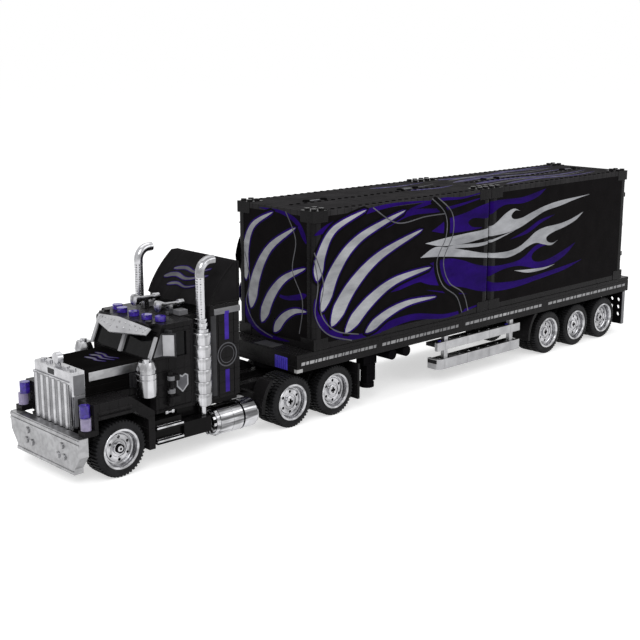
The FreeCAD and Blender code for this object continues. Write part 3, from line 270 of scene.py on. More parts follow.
def film(name, low, high, rough):
    """Printed ink: bands of tone along the lorry, dotted screen grain and thin worn spots."""
    t = Look(name)
    col = t.mix(t.cloud(55, 4, 0.6, (1, 0.5, 1.6)), low, high)
    col = t.mix(t.times(t.dots(1600, 0.2, 0.6), 0.18), col, shade(low, 0.5))
    worn = t.span(t.noise(420, 3, 0.6), 0.7, 0.76)
    col = t.mix(t.times(worn, 0.5), col, rgb(16, 14, 15))
    r = t.span(t.noise(130, 4), 0.3, 0.7, rough * 0.8, rough * 1.3)
    return t.finish(col, r, t.bump(t.noise(900), 0.00001, 0.5), specular=0.02)


def pierced_metal(name, color):
    """Bright sleeve with rows of small holes, painted dark inside as shade."""
    t = Look(name)
    hole = t.dots(520, 0.34, 0.24, 0.15)
    # Painted shade: the holes are coloured dark where their hollow would lie in shadow; the bump below dents
    # them.
    col = t.mix(hole, color, (0.05, 0.05, 0.052, 1))
    return t.finish(col, t.gloss(0.16, 0.34), t.bump(t.times(hole, -1), 0.0002, 0.8), metallic=1)


def skirt_metal(name):
    """Satin panels with upright joints every 32 mm; the shelves between the sides are black plastic."""
    t = Look(name)
    place = t.axes()
    levels = [t.times(t.math("GREATER_THAN", place["Z"], low * MM), t.below(place["Z"], high * MM))
              for low, high in SHELF_Z]
    shelf = t.times(t.math("MAXIMUM", *levels), t.below(t.math("ABSOLUTE", place["X"]), SKIRT_IN * MM))
    line = t.seams((("Y", 32, 13),), 0.3)
    col = t.mix(t.cloud(80, 5, 0.6), rgb(150, 150, 152), rgb(178, 178, 180))
    col = t.mix(t.times(line, 0.6), col, (0.05, 0.05, 0.05, 1))
    normal = t.bump(t.times(line, -1), 0.0002, 0.8, t.ripples())
    return t.finish(t.mix(shelf, col, rgb(22, 21, 22)), t.gloss(0.26, 0.42), normal,
                    metallic=t.math("SUBTRACT", 1, shelf), specular=0.15)


def clear_plastic(name, color, clear, rough=0.08, lower=None, specular=0.5):
    """Clear tinted plastic with moulding swirls inside; lower is the tint of lamps below LAMP_Z."""
    t = Look(name)
    swirl = t.span(t.noise(260), 0.35, 0.65)
    col = t.mix(swirl, shade(color, 0.35), color)
    if lower:
        col = t.mix(t.below(t.axes()["Z"], LAMP_Z * MM), col, t.mix(swirl, shade(lower, 0.7), lower))
    r = t.span(t.noise(120), 0.3, 0.7, rough * 0.6, rough * 1.5)
    return t.finish(col, r, t.bump(t.noise(320, 2), 0.00005, 0.6), clear=clear, specular=specular, ior=1.45)


def rubber(name):
    """Tyre rubber: matt, finely grained and dusty in patches."""
    t = Look(name)
    col = t.mix(t.span(t.noise(70, 5, 0.65), 0.35, 0.7), rgb(16, 16, 17), rgb(34, 34, 36))
    col = t.mix(t.times(t.span(t.noise(1800, 2), 0.6, 0.7), 0.3), col, rgb(60, 60, 62))
    r = t.span(t.noise(500), 0.3, 0.7, 0.42, 0.62)
    return t.finish(col, r, t.bump(t.noise(1300, 4), 0.00004, 0.8), specular=0.1)


TILES = (("X", 16, 8),)
black = plastic("black bricks", rgb(25, 24, 25), 0.25, 0.06, (("Y", 8, 4), ("Z", 9.6, 2.2)), 0.25)
black_plain = plastic("black tiles", rgb(15, 14, 15), 0.2, 0.06)
matt_black = plastic("matt black caps", rgb(13, 12, 13), 0.5, 0)
dark_plain = plastic("dark grey plastic", rgb(44, 44, 46), 0.25, 0.1)
mid_plain = plastic("mid grey plastic", rgb(60, 60, 62), 0.35, 0.05)
light_plain = plastic("light grey plastic", rgb(116, 116, 119), 0.3, 0.2)
# Painted reflection: the black roof is given a grey colour, with no gloss, in place of the light it reflects.
roof_painted_sheen = plastic("roof panel", rgb(52, 51, 52), 0.5, 0, (("Y", 8, 4), ("X", 8, 4)))
purple_solid = plastic("purple plastic", rgb(66, 54, 170), 0.25, 0.2)
silver = metal("silver coat", rgb(188, 188, 191), 0.2, (1, 0.12, 1), 0.75)
satin = metal("satin silver coat", rgb(172, 172, 174), 0.34, (1, 0.5, 1), 0.22)
pale_panel = plastic("pale panel", rgb(178, 178, 181), 0.3, 0.3, rub=0)
chrome = metal("bright wheel coat", rgb(200, 200, 203), 0.16, (1, 1, 1), 0.5, 0.00002, 130)
upright = metal("silver drums", rgb(204, 204, 207), 0.2, (1, 1, 0.05), 0.5)
tank_coat = metal("silver tanks", rgb(205, 205, 208), 0.12, (1, 0.1, 1), 0.9)
pierced = pierced_metal("pierced sleeve", rgb(190, 190, 193))
silver_print = film("silver print", rgb(140, 141, 145), rgb(190, 191, 195), 0.34)
purple_print = film("purple print", rgb(26, 5, 74), rgb(41, 11, 112), 0.3)
bright_purple = film("bright purple print", rgb(54, 36, 128), rgb(76, 54, 168), 0.3)
grey_print = film("grey print", rgb(80, 80, 84), rgb(112, 112, 116), 0.35)
roof_purple = film("roof purple print", rgb(24, 14, 62), rgb(42, 26, 104), 0.4)
roof_grey = film("roof grey print", rgb(52, 52, 56), rgb(72, 72, 78), 0.4)
black_print = film("black print", rgb(4, 4, 4), rgb(7, 6, 7), 0.3)
pale_print = film("pale print", rgb(132, 132, 134), rgb(186, 186, 188), 0.4)
white_print = film("white print", rgb(170, 170, 170), rgb(210, 210, 210), 0.4)
tyre_rubber = rubber("tyre rubber")

BY_SLOT = {
    "black": black,
    "dark_grey": plastic("dark grey bricks", rgb(19, 18, 20), 0.35, 0,
                         (("Y", 16, 4), ("Z", 9.6, 5.2)), 0.25, 0.25),
    "box_panel": plastic("printed black panel", rgb(16, 14, 15), 0.25, 0.01),
    "silver": silver,
    "purple_clear": clear_plastic("purple clear plastic", rgb(92, 66, 205), 0.35),
    "smoke_glass": clear_plastic("smoked clear plastic", rgb(20, 20, 22), 0.15, 0.05, specular=0.06),
    "tyre": tyre_rubber,
}
BY_NODE = {
    "bumper": satin, "screen_trim": pale_panel, "side_steps": black_plain, "mirrors": dark_plain,
    "grille": radiator_metal("radiator coat", rgb(200, 200, 203)),
    "bonnet": plastic("bonnet tiles", rgb(16, 15, 15), 0.3, 0, TILES, 0.2),
    "roof_fairing": plastic("fairing panels", rgb(31, 30, 31), 0.3, 0, TILES, 0.2),
    "headlamps": clear_plastic("lamp plastic", rgb(80, 54, 190), 0.3, 0.08, rgb(176, 166, 202)),
    "side_skirts": skirt_metal("skirt panels and shelves"),
    "front_box_roof": roof_painted_sheen, "rear_box_roof": roof_painted_sheen,
}
for part in frame["record"]["subparts"]:
    slots = nodes[part["node"]].data.materials
    slots.clear()
    slots.append(BY_NODE.get(part["node"], BY_SLOT[part["material_slot"]]))


# Mesh building

def solid_mesh(name, verts, faces):
    """Mesh with its faces turned outward."""
    mesh = bpy.data.meshes.new(name)
    mesh.from_pydata(verts, [], faces)
    bm = bmesh.new()
    bm.from_mesh(mesh)
    bmesh.ops.recalc_face_normals(bm, faces=bm.faces)
    bm.to_mesh(mesh)
    bm.free()
    return mesh


def place_object(name, data):
    obj = bpy.data.objects.new(name, data)
    scene.collection.objects.link(obj)
    return obj


def soften_group():
    """Modifier that welds a mesh and shades it smooth apart from edges sharper than its angle."""
    group = bpy.data.node_groups.new("soften", "GeometryNodeTree")
    for name, way, kind in (("Geometry", "INPUT", "Geometry"), ("Angle", "INPUT", "Float"),
                            ("Geometry", "OUTPUT", "Geometry")):
        group.interface.new_socket(name, in_out=way, socket_type="NodeSocket" + kind)
    t = Tree(group)
    into = t.add("NodeGroupInput").outputs
    angle = t.add("GeometryNodeInputMeshEdgeAngle").outputs["Unsigned Angle"]
    sharp = t.add("FunctionNodeCompare", {"A": angle, "B": into["Angle"]}, operation="GREATER_THAN")
    edges = {"Selection": sharp.outputs["Result"], "Shade Smooth": False}
    mesh = into["Geometry"]
    for kind, inputs, settings in (
            ("RemoveAttribute", {"Name": "custom_normal"}, {}), ("MergeByDistance", {"Distance": 0.000002}, {}),
            ("SetShadeSmooth", {}, {}), ("SetShadeSmooth", edges, {"domain": "EDGE"})):
        mesh = t.add("GeometryNode" + kind, {"Geometry": mesh, **inputs}, **settings).outputs["Geometry"]
    t.add("NodeGroupOutput", {"Geometry": mesh})
    return group


SOFTEN = soften_group()


def soften(obj, degrees):
    mod = obj.modifiers.new("smooth curves", "NODES")
    mod.node_group = SOFTEN
    mod[SOFTEN.interface.items_tree["Angle"].identifier] = math.radians(degrees)


class Pile:
    """Collects solids in millimetres and makes one joined mesh of them."""

    def __init__(self):
        self.verts = []
        self.faces = []

    def add(self, verts, faces):
        start = len(self.verts)
        self.verts += [Vector(v) for v in verts]
        self.faces += [tuple(i + start for i in face) for face in faces]
        return self

    def skin(self, rings, looped=False):
        """Quads between rings of points; looped joins the last ring to the first, else both ends are closed."""
        n, count = len(rings[0]), len(rings)
        last = (count - 1) * n
        ends = [] if looped else [tuple(range(n))[::-1], tuple(range(last, last + n))]
        starts = [(k * n, (k + 1) % count * n) for k in range(count if looped else count - 1)]
        sides = [(p + i, p + (i + 1) % n, q + (i + 1) % n, q + i) for p, q in starts for i in range(n)]
        return self.add([v for ring in rings for v in ring], ends + sides)

    def box(self, x0, x1, y0, y1, z0, z1):
        return self.skin([[(x0, y0, z), (x1, y0, z), (x1, y1, z), (x0, y1, z)] for z in (z0, z1)])

    def slab(self, outline, place, low, high):
        """Flat outline of (u, v) pairs thickened from low to high; place(u, v, h) gives x, y, z."""
        return self.skin([[place(u, v, h) for u, v in outline] for h in (low, high)])

    def lathe(self, profile, centre, axis, segments=48, tread=False):
        """Closed profile of (along, radius) pairs turned about an axis; a tread has its lugs cut into it."""
        a = Vector(axis).normalized()
        side = a.orthogonal().normalized()
        other = a.cross(side)
        rings = []
        for k in range(segments):
            turn = 2 * math.pi * (lug_column(k) if tread else k) / segments
            out = side * math.cos(turn) + other * math.sin(turn)
            rings.append([Vector(centre) + a * u + out * (r - (lug_depth(i, k) if tread else 0))
                          for i, (u, r) in enumerate(profile)])
        return self.skin(rings, True)

    def tube(self, x, stations):
        """Closed tube in the plane of x through stations of (y, z, radius, lean in degrees from upright)."""
        turns = [2 * math.pi * k / 32 for k in range(32)]
        rings = []
        for y, z, r, lean in stations:
            across = Vector((0, math.cos(math.radians(lean)), -math.sin(math.radians(lean))))
            rings.append([Vector((x + math.cos(a) * r, y, z)) + across * math.sin(a) * r for a in turns])
        return self.skin(rings)

    def disc(self, profile, centre, axis, segments=32):
        """Profile turned into a closed solid: it starts beside the axis and ends beside it or on it."""
        profile = [(profile[0][0], 0)] + profile
        if profile[-1][1]:
            profile.append((profile[-1][0], 0))
        return self.lathe([(u, max(r, 0.0005)) for u, r in profile], centre, axis, segments)

    def ring(self, r0, r1, length, centre, axis, segments):
        return self.lathe([(0, r0), (0, r1), (length, r1), (length, r0)], centre, axis, segments)

    def mirrored(self):
        flipped = [Vector((-v.x, v.y, v.z)) for v in self.verts]
        return self.add(flipped, [face[::-1] for face in self.faces])

    def make(self, name, material, slot, smooth=0, bevel=0, body="tractor"):
        """Piece with its material, body, small rounded edges and smooth curves; slot is not used."""
        mesh = solid_mesh(name, [P(*v) for v in self.verts], self.faces)
        mesh.materials.append(material)
        obj = place_object(name, mesh)
        if bevel:
            mod = obj.modifiers.new("edges", "BEVEL")
            mod.width = bevel * MM
            mod.segments = 2
            mod.limit_method = "ANGLE"
            mod.angle_limit = math.radians(35)
        if smooth:
            soften(obj, smooth)
        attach(obj, body)
        return obj

    def pair(self, *args, **more):
        """One piece of the pile and its mirror image."""
        return self.mirrored().make(*args, **more)


def on_side(x, s=1):
    """Place function for slabs and films that face outward at x: (y, z, h) to x, y, z."""
    return lambda y, z, h: (s * (x + h), y, z)


def smooth_outline(points):
    """Closed curve through the points; a point given as (u, v, 1) is a sharp tip."""
    n, steps = len(points), 5
    out = []
    for i in range(n):
        before, a, b, after = (points[(i + k) % n] for k in (-1, 0, 1, 2))
        pa, pb = Vector(a[:2]), Vector(b[:2])
        ta = (pb - pa) * 0.9 if len(a) > 2 else (pb - Vector(before[:2])) * 0.5
        tb = (pb - pa) * 0.9 if len(b) > 2 else (Vector(after[:2]) - pa) * 0.5
        for k in range(steps):
            t = k / steps
            h = (2 * t ** 3 - 3 * t ** 2 + 1, t ** 3 - 2 * t ** 2 + t, 3 * t ** 2 - 2 * t ** 3, t ** 3 - t ** 2)
            out.append(tuple(pa * h[0] + ta * h[1] + pb * h[2] + tb * h[3]))
    return out


def curve(points, steps):
    """Smooth path through the points."""
    last = len(points) - 1
    path = []
    for i in range(last):
        p0, p1, p2, p3 = (Vector(points[min(max(i + k, 0), last)]) for k in (-1, 0, 1, 2))
        for k in range(steps):
            t = k / steps
            path.append(0.5 * (2 * p1 + (p2 - p0) * t + (2 * p0 - 5 * p1 + 4 * p2 - p3) * t * t
                               + (3 * p1 - p0 - 3 * p2 + p3) * t ** 3))
    return path + [Vector(points[last])]


def banks(path, widths):
    """Points beside a path, left and right, for the widths at its points by number."""
    last = len(path) - 1
    left, right = [], []
    for i, width in widths.items():
        along = (path[min(i + 1, last)] - path[max(i - 1, 0)]).normalized()
        across = Vector((-along.y, along.x)) * width / 2
        left.append(tuple(path[i] + across))
        right.append(tuple(path[i] - across))
    return left, right[::-1]


def ribbon(points, width):
    """Outline of a line of even width along a smooth curve through the points."""
    path = curve(points, 8)
    left, right = banks(path, {i: width for i in range(len(path))})
    return left + right


def lick(points, width):
    """Outline of a curved blade along a smooth path: full after a sixth of it, then drawn out to a fine tip."""
    path = curve(points, 10)
    last, blunt = len(path) - 1, 0.16
    left, right = banks(path, {i: width * min(1, (i / last / blunt) ** 0.8) * (1 - i / last) ** 0.7
                               for i in range(1, last)})
    return [tuple(path[0])] + left + [tuple(path[last])] + right


# Wheels

LUGS = 46
LUG_EDGES = (0, 0.07, 0.5, 0.57)


def lug_column(k):
    """Where column k of a tread stands: four a pitch, close together at the edges of the lugs."""
    return (k // 4 + LUG_EDGES[k % 4]) * 4


def lug_depth(i, k):
    """How far row i of add_tyre's profile lies low: two rows of lugs, half a pitch apart, 1 mm high."""
    low = k % 4 in (0, 3)
    return 1 if i in (6, 7, 8) and low or i in (11, 12, 13) and not low else 0


def add_tyre(pile, face_x, width, y, s):
    """Tyre with a bulged, ringed side wall and a tread of staggered lugs."""
    r = WHEEL_R
    w = width - 0.65
    profile = [
        (0.65, SEAT_R), (0.65, SEAT_R + 1.4), (0.9, SEAT_R + 2), (0.75, SEAT_R + 2.6), (0.72, SEAT_R + 4.4),
        (1, r - 1.9), (1.5, r - 0.25), (2.1, r), (width * 0.46, r), (width * 0.46, r - 1.3),
        (width * 0.54, r - 1.3), (width * 0.54, r), (w - 1.5, r), (w - 0.9, r - 0.25), (w - 0.35, r - 1.9),
        (w, SEAT_R + 4), (w, SEAT_R),
    ]
    return pile.lathe(profile, (s * face_x, y, WHEEL_R), (-s, 0, 0), 4 * LUGS, True)


def cut_mesh(pile, cutter):
    """The pile with another pile cut out of it, applied at once."""
    objs = [place_object(name, solid_mesh(name, part.verts, part.faces))
            for name, part in (("whole", pile), ("cutter", cutter))]
    mod = objs[0].modifiers.new("cut", "BOOLEAN")
    mod.object = objs[1]
    mod.solver = "EXACT"
    done = objs[0].evaluated_get(bpy.context.evaluated_depsgraph_get()).to_mesh()
    result = Pile().add([v.co.copy() for v in done.vertices], [tuple(f.vertices) for f in done.polygons])
    for obj in objs:
        bpy.data.meshes.remove(obj.data)
    return result


def outer_rim(width, bored):
    """Deep dish at x 0 facing +X: stepped ring with six holes; the hub is bored or has a cross-shaped hole."""
    r = RIM_R
    hub = 2.6 if bored else 0.0005
    profile = [
        (0.3, r), (0.62, r - 0.3), (0.62, SEAT_R), (width, SEAT_R), (width, 13), (7, 13), (7, hub),
        (3.2, hub), (3.2, 4.1), (3.45, 4.5), (5, 4.6), (5, 6.4), (4.3, 6.6), (4.1, 7), (4.1, 10),
        (4.3, 10.4), (5.2, 10.7), (5.2, 11.8), (4.6, 12.5), (2.8, 12.8), (0.9, 13.1), (0.25, 13.5), (0, 14.1),
        (0, r - 0.3),
    ]
    holes = Pile()
    for k in range(6):
        a = math.pi / 3 * (k + 0.5)
        holes.disc([(-1, 1.2), (8, 1.2)], (0, 8.5 * math.cos(a), 8.5 * math.sin(a)), (-1, 0, 0), 14)
    if not bored:
        cross = [(1, 2.5), (1, 1), (2.5, 1), (2.5, -1), (1, -1), (1, -2.5),
                 (-1, -2.5), (-1, -1), (-2.5, -1), (-2.5, 1), (-1, 1), (-1, 2.5)]
        holes.slab(cross, on_side(0), -5.4, 0)
    return cut_mesh(Pile().lathe(profile, (0, 0, 0), (-1, 0, 0), 72), holes)


def put_wheel(pile, part, face_x, y, s):
    """Copy of a wheel part with its face at face_x on side s."""
    return pile.add([(s * (face_x + v.x), y + v.y, WHEEL_R + v.z) for v in part.verts], part.faces)


SIDES = ((1, "left"), (-1, "right"))
FRONT_RIM = outer_rim(FRONT_W, True)
TWIN_RIM = outer_rim(TWIN_W, False)
INNER_RIM = Pile().lathe([(0, SEAT_R), (TWIN_W, SEAT_R), (TWIN_W, 2.6), (TWIN_W - 3.2, 2.6), (TWIN_W - 3.2, 13),
                          (0, 13)], (0, 0, 0), (-1, 0, 0))


def make_wheels():
    for s, side in SIDES:
        body = "front_wheel_" + side
        tyre = add_tyre(Pile(), FACE_X, FRONT_W, 0, s)
        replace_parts(tyre.make("tread_front_" + side, tyre_rubber, "tyre", 32, body=body), "front_tyre_" + side)
        rim = put_wheel(Pile(), FRONT_RIM, FACE_X, 0, s)
        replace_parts(rim.make("chrome_front_" + side, chrome, "silver", 30, body=body), "front_rim_" + side)
    for name, stations in (("drive", DRIVE_Y), ("trailer", TRAILER_Y)):
        for i, y in enumerate(stations):
            body, rims, tyres = (name + kind + "_%d" % (i + 1) for kind in ("_axle", "_rims", "_tyres"))
            make_wheelset(body, rims, tyres, y)


def make_wheelset(body, rims_node, tyres_node, y):
    """Twin wheels on both sides and the cross-shaped axle between them."""
    tyres, rims, axle = Pile(), Pile(), Pile()
    for s, _ in SIDES:
        for step in (0, TWIN_STEP):
            add_tyre(tyres, FACE_X - step, TWIN_W, y, s)
        put_wheel(rims, TWIN_RIM, FACE_X, y, s)
        put_wheel(rims, INNER_RIM, FACE_X - TWIN_STEP, y, s)
    reach = FACE_X - 4.6
    for half_y, half_z in ((0.9, 2.4), (2.4, 0.9)):
        axle.box(-reach, reach, y - half_y, y + half_y, WHEEL_R - half_z, WHEEL_R + half_z)
    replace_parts(tyres.make("tread_" + tyres_node, tyre_rubber, "tyre", 32, body=body), tyres_node)
    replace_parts(rims.make("chrome_" + rims_node, chrome, "silver", 30, body=body), rims_node)
    axle.make("bar_" + rims_node, black_plain, "silver", bevel=0.15, body=body)


# Printed decoration

def covered(point, outline):
    """True inside an outline, also where it crosses itself."""
    x, y = point
    turns = 0
    for (ax, ay), (bx, by) in zip(outline[-1:] + outline[:-1], outline):
        if (ay <= y) != (by <= y):
            side = (bx - ax) * (y - ay) - (x - ax) * (by - ay)
            turns += (ay <= y and side > 0) - (ay > y and side < 0)
    return turns != 0


def flat_cover(outlines, folds=()):
    """Triangles that cover the outlines together, with edges along the fold lines u = constant."""
    points, edges, boxes = [], [], []
    for outline in outlines:
        start, n = len(points), len(outline)
        points += [Vector(p) for p in outline]
        edges += [(start + i, start + (i + 1) % n) for i in range(n)]
        us, vs = zip(*outline)
        boxes.append((min(us), max(us), min(vs), max(vs)))
    low = min(p.y for p in points) - 1
    high = max(p.y for p in points) + 1
    for u in folds:
        edges.append((len(points), len(points) + 1))
        points += [Vector((u, low)), Vector((u, high))]
    verts, _, faces, *_ = delaunay_2d_cdt(points, edges, [], 0, 1e-4)
    kept = []
    for face in faces:
        middle = sum((verts[i] for i in face), Vector((0, 0))) / len(face)
        if any(u0 < middle.x < u1 and v0 < middle.y < v1 and covered(middle, outline)
               for outline, (u0, u1, v0, v1) in zip(outlines, boxes)):
            kept.append(face)
    return verts, kept


def add_film(pile, outlines, place, height, folds=(), keep=None):
    """Closed thin film over the outlines; place(u, v, h) gives x, y, z."""
    verts, faces = flat_cover(outlines, folds)
    if keep:
        faces = [f for f in faces if keep(sum(verts[i].x for i in f) / len(f))]
    rim = {}
    for face in faces:
        for i in range(len(face)):
            edge = (face[i - 1], face[i])
            if rim.pop(edge[::-1], None) is None:
                rim[edge] = True
    used = sorted({i for face in faces for i in face})
    spot = {i: k for k, i in enumerate(used)}
    n = len(used)
    points = [place(verts[i].x, verts[i].y, h) for h in (-0.06, height) for i in used]
    shell = [tuple(spot[i] for i in face)[::-1] for face in faces]
    shell += [tuple(spot[i] + n for i in face) for face in faces]
    shell += [(spot[a], spot[b], spot[b] + n, spot[a] + n) for a, b in rim]
    return pile.add(points, shell)


def films(prefix, layers, place, slot, body="tractor", folds=(), keep=None, both=False):
    """Pieces of film from layers of (name, outlines, material, height); both adds a mirror image."""
    for name, outlines, material, height in layers:
        pile = add_film(Pile(), outlines, place, height, folds, keep)
        (pile.pair if both else pile.make)(prefix + name, material, slot, body=body)


FOLDS = tuple(JOIN_Y + s * d for s in (-1, 1) for d in (0.8, 1.2, 1.7, 2.4, 3.4, 4.8))
POST_R = 4.4


def side_place(y, z, h):
    """On the long side, falling back with the rounded posts beside the join of the two containers."""
    d = abs(y - JOIN_Y) - 0.4
    drop = 0 if d >= POST_R else POST_R - math.sqrt(max(POST_R ** 2 - (POST_R - d) ** 2, 0))
    return SIDE_X + h - drop + min(drop, 0.12), y, z


def grown(outline, by):
    """The outline pushed outward by a fixed amount."""
    n = len(outline)
    area = sum(outline[i - 1][0] * outline[i][1] - outline[i][0] * outline[i - 1][1] for i in range(n))
    by = by if area > 0 else -by
    out = []
    for i in range(n):
        along = (Vector(outline[(i + 1) % n]) - Vector(outline[i - 1])).normalized()
        out.append((outline[i][0] + along.y * by, outline[i][1] - along.x * by))
    return out


# Flames as (y, z) round the outline; a third value marks a sharp tip
SILVER_FLAMES = [
    [(322, 134, 1), (349, 136), (377, 137), (405, 138), (420, 142), (433, 149), (446, 153), (456, 150, 1),
     (449, 151), (443, 147), (447, 143), (459, 143), (476, 147), (495, 151), (521, 154), (571, 156, 1),
     (546, 153), (521, 149), (496, 146), (476, 140), (457, 134), (438, 131), (406, 130), (377, 128), (345, 129)],
    [(316, 122, 1), (334, 129), (352, 127), (380, 121), (408, 115), (436, 113), (455, 115),
     (470, 121), (482, 127), (497, 130), (521, 131), (541, 134), (560, 139, 1), (548, 132), (530, 127),
     (512, 124), (500, 120), (502, 115), (511, 113), (519, 115, 1), (508, 111), (496, 113), (483, 116),
     (470, 114), (458, 110), (440, 107), (420, 109), (378, 115), (350, 119), (330, 121)],
    [(450, 93, 1), (472, 88), (498, 88), (516, 91, 1), (498, 90), (475, 91)],
    [(330, 125, 1), (362, 125), (404, 123), (450, 132, 1), (404, 126), (362, 128)],
]
PURPLE_FLAMES = [
    [(351, 153, 1), (376, 156), (395, 160), (418, 163), (436, 163), (462, 163), (496, 168, 1), (483, 161),
     (461, 157), (436, 158), (425, 156), (416, 152), (406, 148), (388, 150), (380, 147), (386, 142),
     (400, 140), (380, 139), (350, 140), (330, 144, 1), (340, 148)],
    [(300, 108, 1), (320, 114), (350, 117), (372, 113), (390, 107), (407, 103), (424, 101), (440, 101),
     (456, 102), (466, 105), (474, 109), (482, 113), (493, 114.5), (503, 112, 1), (491, 111), (480, 107),
     (477, 102), (482, 98), (492, 96.5), (507, 98), (524, 102), (549, 109, 1), (536, 100), (521, 94),
     (505, 90.5), (488, 90), (474, 93), (458, 96.5), (440, 97), (422, 94.5), (411, 91), (414, 87), (426, 84.5),
     (444, 83), (462, 82.5), (482, 83.5), (504, 85), (530, 87), (562, 90, 1), (534, 83.5), (506, 80.5),
     (482, 78.5), (460, 76.5), (438, 76), (416, 77.5), (396, 81), (376, 87), (352, 92), (326, 97)],
    [(324, 92, 1), (345, 88), (382, 80, 1), (356, 84)],
    [(442, 124, 1), (469, 127), (490, 135), (512, 141, 1), (488, 138), (466, 130)],
]

# Blades of the front container: width, then a path of y, z pairs
BLADES = [
    (12, 192, 118, 197, 140, 212, 159, 248, 171),
    (15, 197, 92, 212, 124, 240, 148, 296, 166),
    (16, 208, 78, 230, 107, 264, 130, 318, 147),
    (14, 224, 70, 252, 92, 284, 106, 330, 112),
    (10, 248, 66, 274, 78, 302, 84, 338, 84),
]
SWOOSHES = [
    (7, 189, 156, 226, 166, 276, 172, 330, 171), (12, 190, 104, 200, 80, 226, 66, 268, 63),
    (8, 250, 64, 304, 70, 354, 64, 406, 68), (7, 262, 152, 300, 163, 346, 162, 402, 168),
    (4, 300, 166, 340, 171, 372, 170, 404, 173), (10, 270, 98, 312, 104, 344, 100, 380, 106),
]
PINSTRIPES = [  # paths of (y, z)
    [(189, 142), (199, 116), (196, 92), (212, 74), (240, 66)],
    [(189, 136), (193, 114), (190, 90), (204, 72), (232, 62)],
    [(330, 173), (348, 158), (350, 138), (338, 116), (346, 94), (366, 80), (374, 64)],
    [(338, 173), (357, 158), (359, 138), (347, 116), (355, 95), (375, 82), (383, 64)],
    [(256, 172), (286, 156), (322, 158), (348, 158)],
]

# The same family on the front container's leading end, in x, z pairs
END_BLADES = [
    (10, -38, 108, -38, 134, -28, 156, -2, 170), (13, -32, 84, -24, 114, -6, 140, 26, 160),
    (12, -18, 74, -6, 98, 12, 116, 38, 128), (9, -2, 68, 10, 82, 24, 90, 39, 92),
]
END_SWOOSHES = [
    (9, -39, 92, -34, 74, -14, 64, 18, 63), (6, 39, 106, 26, 102, 8, 100, -8, 108),
    (6, 39, 148, 28, 164, 8, 171, -20, 172),
]
END_STRIPES = [
    [(-39, 132), (-33, 108), (-38, 88), (-26, 70), (-4, 63)],
    [(14, 172), (26, 150), (22, 124), (34, 100), (30, 72)],
]

# Roof streaks in y, x pairs: the paths run along the lorry
ROOF_PURPLE = [
    (7, 330, -30, 366, -24, 404, -29), (6, 346, 4, 378, 10, 406, 6),
    (11, 424, -34, 480, -24, 540, -32, 604, -22), (10, 422, -8, 474, -14, 536, -4, 612, -10),
    (10, 430, 14, 486, 8, 548, 20, 614, 12), (7, 450, 34, 506, 26, 560, 34, 606, 28),
    (5, 520, -38, 560, -34, 590, -38, 618, -34),
]
ROOF_GREY = [
    (4, 350, -12, 376, -8, 402, -14), (5, 428, -20, 486, -28, 548, -16, 600, -24),
    (5, 440, 2, 500, -6, 560, 6, 618, -2), (5, 436, 24, 492, 18, 548, 28, 600, 20),
]
LATCH_Y = (237.6, 354, 473, 603)


def blades_of(table):
    return [lick(list(zip(row[1::2], row[2::2])), row[0]) for row in table]


def layered(prefix, outlines):
    """A family of blades as three stacked films: black surround, purple rim, silver face."""
    return (
        (prefix + "surrounds", [grown(o, 3.6) for o in outlines], black_print, 0.06),
        (prefix + "rims", [grown(o, 1.5) for o in outlines], purple_print, 0.09),
        (prefix + "faces", outlines, silver_print, 0.12),
    )


def make_prints():
    """Prints of the containers: wrapped round the posts' corners on the long sides, and open at the join."""
    layers = (
        ("flames_purple", [smooth_outline(f) for f in PURPLE_FLAMES] + blades_of(SWOOSHES), purple_print, 0.03),
        ("stripe_bands", [ribbon(PINSTRIPES[2], 8)], black_print, 0.05),
        *layered("blade_", blades_of(BLADES)),
        ("flames_silver", [smooth_outline(f) for f in SILVER_FLAMES], silver_print, 0.08),
        ("pinstripes", [ribbon(p, 1) for p in PINSTRIPES], grey_print, 0.15),
    )
    layers = [(name, [[(y, min(z, SIDE_TOP)) for y, z in o] for o in outlines], material, height)
              for name, outlines, material, height in layers]
    films("", layers, side_place, "box_panel", "trailer", FOLDS, lambda y: abs(y - JOIN_Y) > 0.8, True)
    layers = (
        ("swooshes", blades_of(END_SWOOSHES), purple_print, 0.03), *layered("", blades_of(END_BLADES)),
        ("stripes", [ribbon(p, 1) for p in END_STRIPES], grey_print, 0.15),
    )
    films("end_", layers, lambda x, z, h: (x, END_Y - h, z), "box_panel", "trailer")
    layers = (("purple", blades_of(ROOF_PURPLE), roof_purple, 0.03),
              ("grey", blades_of(ROOF_GREY), roof_grey, 0.06))
    films("roof_", layers, lambda y, x, h: (x, y, ROOF_Z + h), "box_panel", "trailer",
          FOLDS, lambda y: abs(y - JOIN_Y) > 0.9)
    make_rail_dashes()


def make_rail_dashes():
    """Groups of plain slanted dashes along the side rails; each run is the pattern stretched to its length."""
    pile = Pile()
    pattern = (4, 3, 5, 2, 4, 3, 2, 5, 3, 4, 2, 4, 3, 5, 2, 4, 3, 5, 3)
    gap, lean, low, high = 1.1, 0.5, 50.6, 53.2
    for y, end in ((174, 262), (268.5, 370.5), (379.5, 497), (507, 645)):
        k = (end - y) / (sum(pattern) + gap * len(pattern))
        for dash in pattern:
            end_y = y + dash * k
            outline = [(y, low), (end_y, low), (end_y + lean, high), (y + lean, high)]
            pile.slab(outline, on_side(RAIL_X), -0.06, 0.06)
            y = end_y + gap * k
    pile.pair("rail_dashes", pale_print, "black", body="trailer")


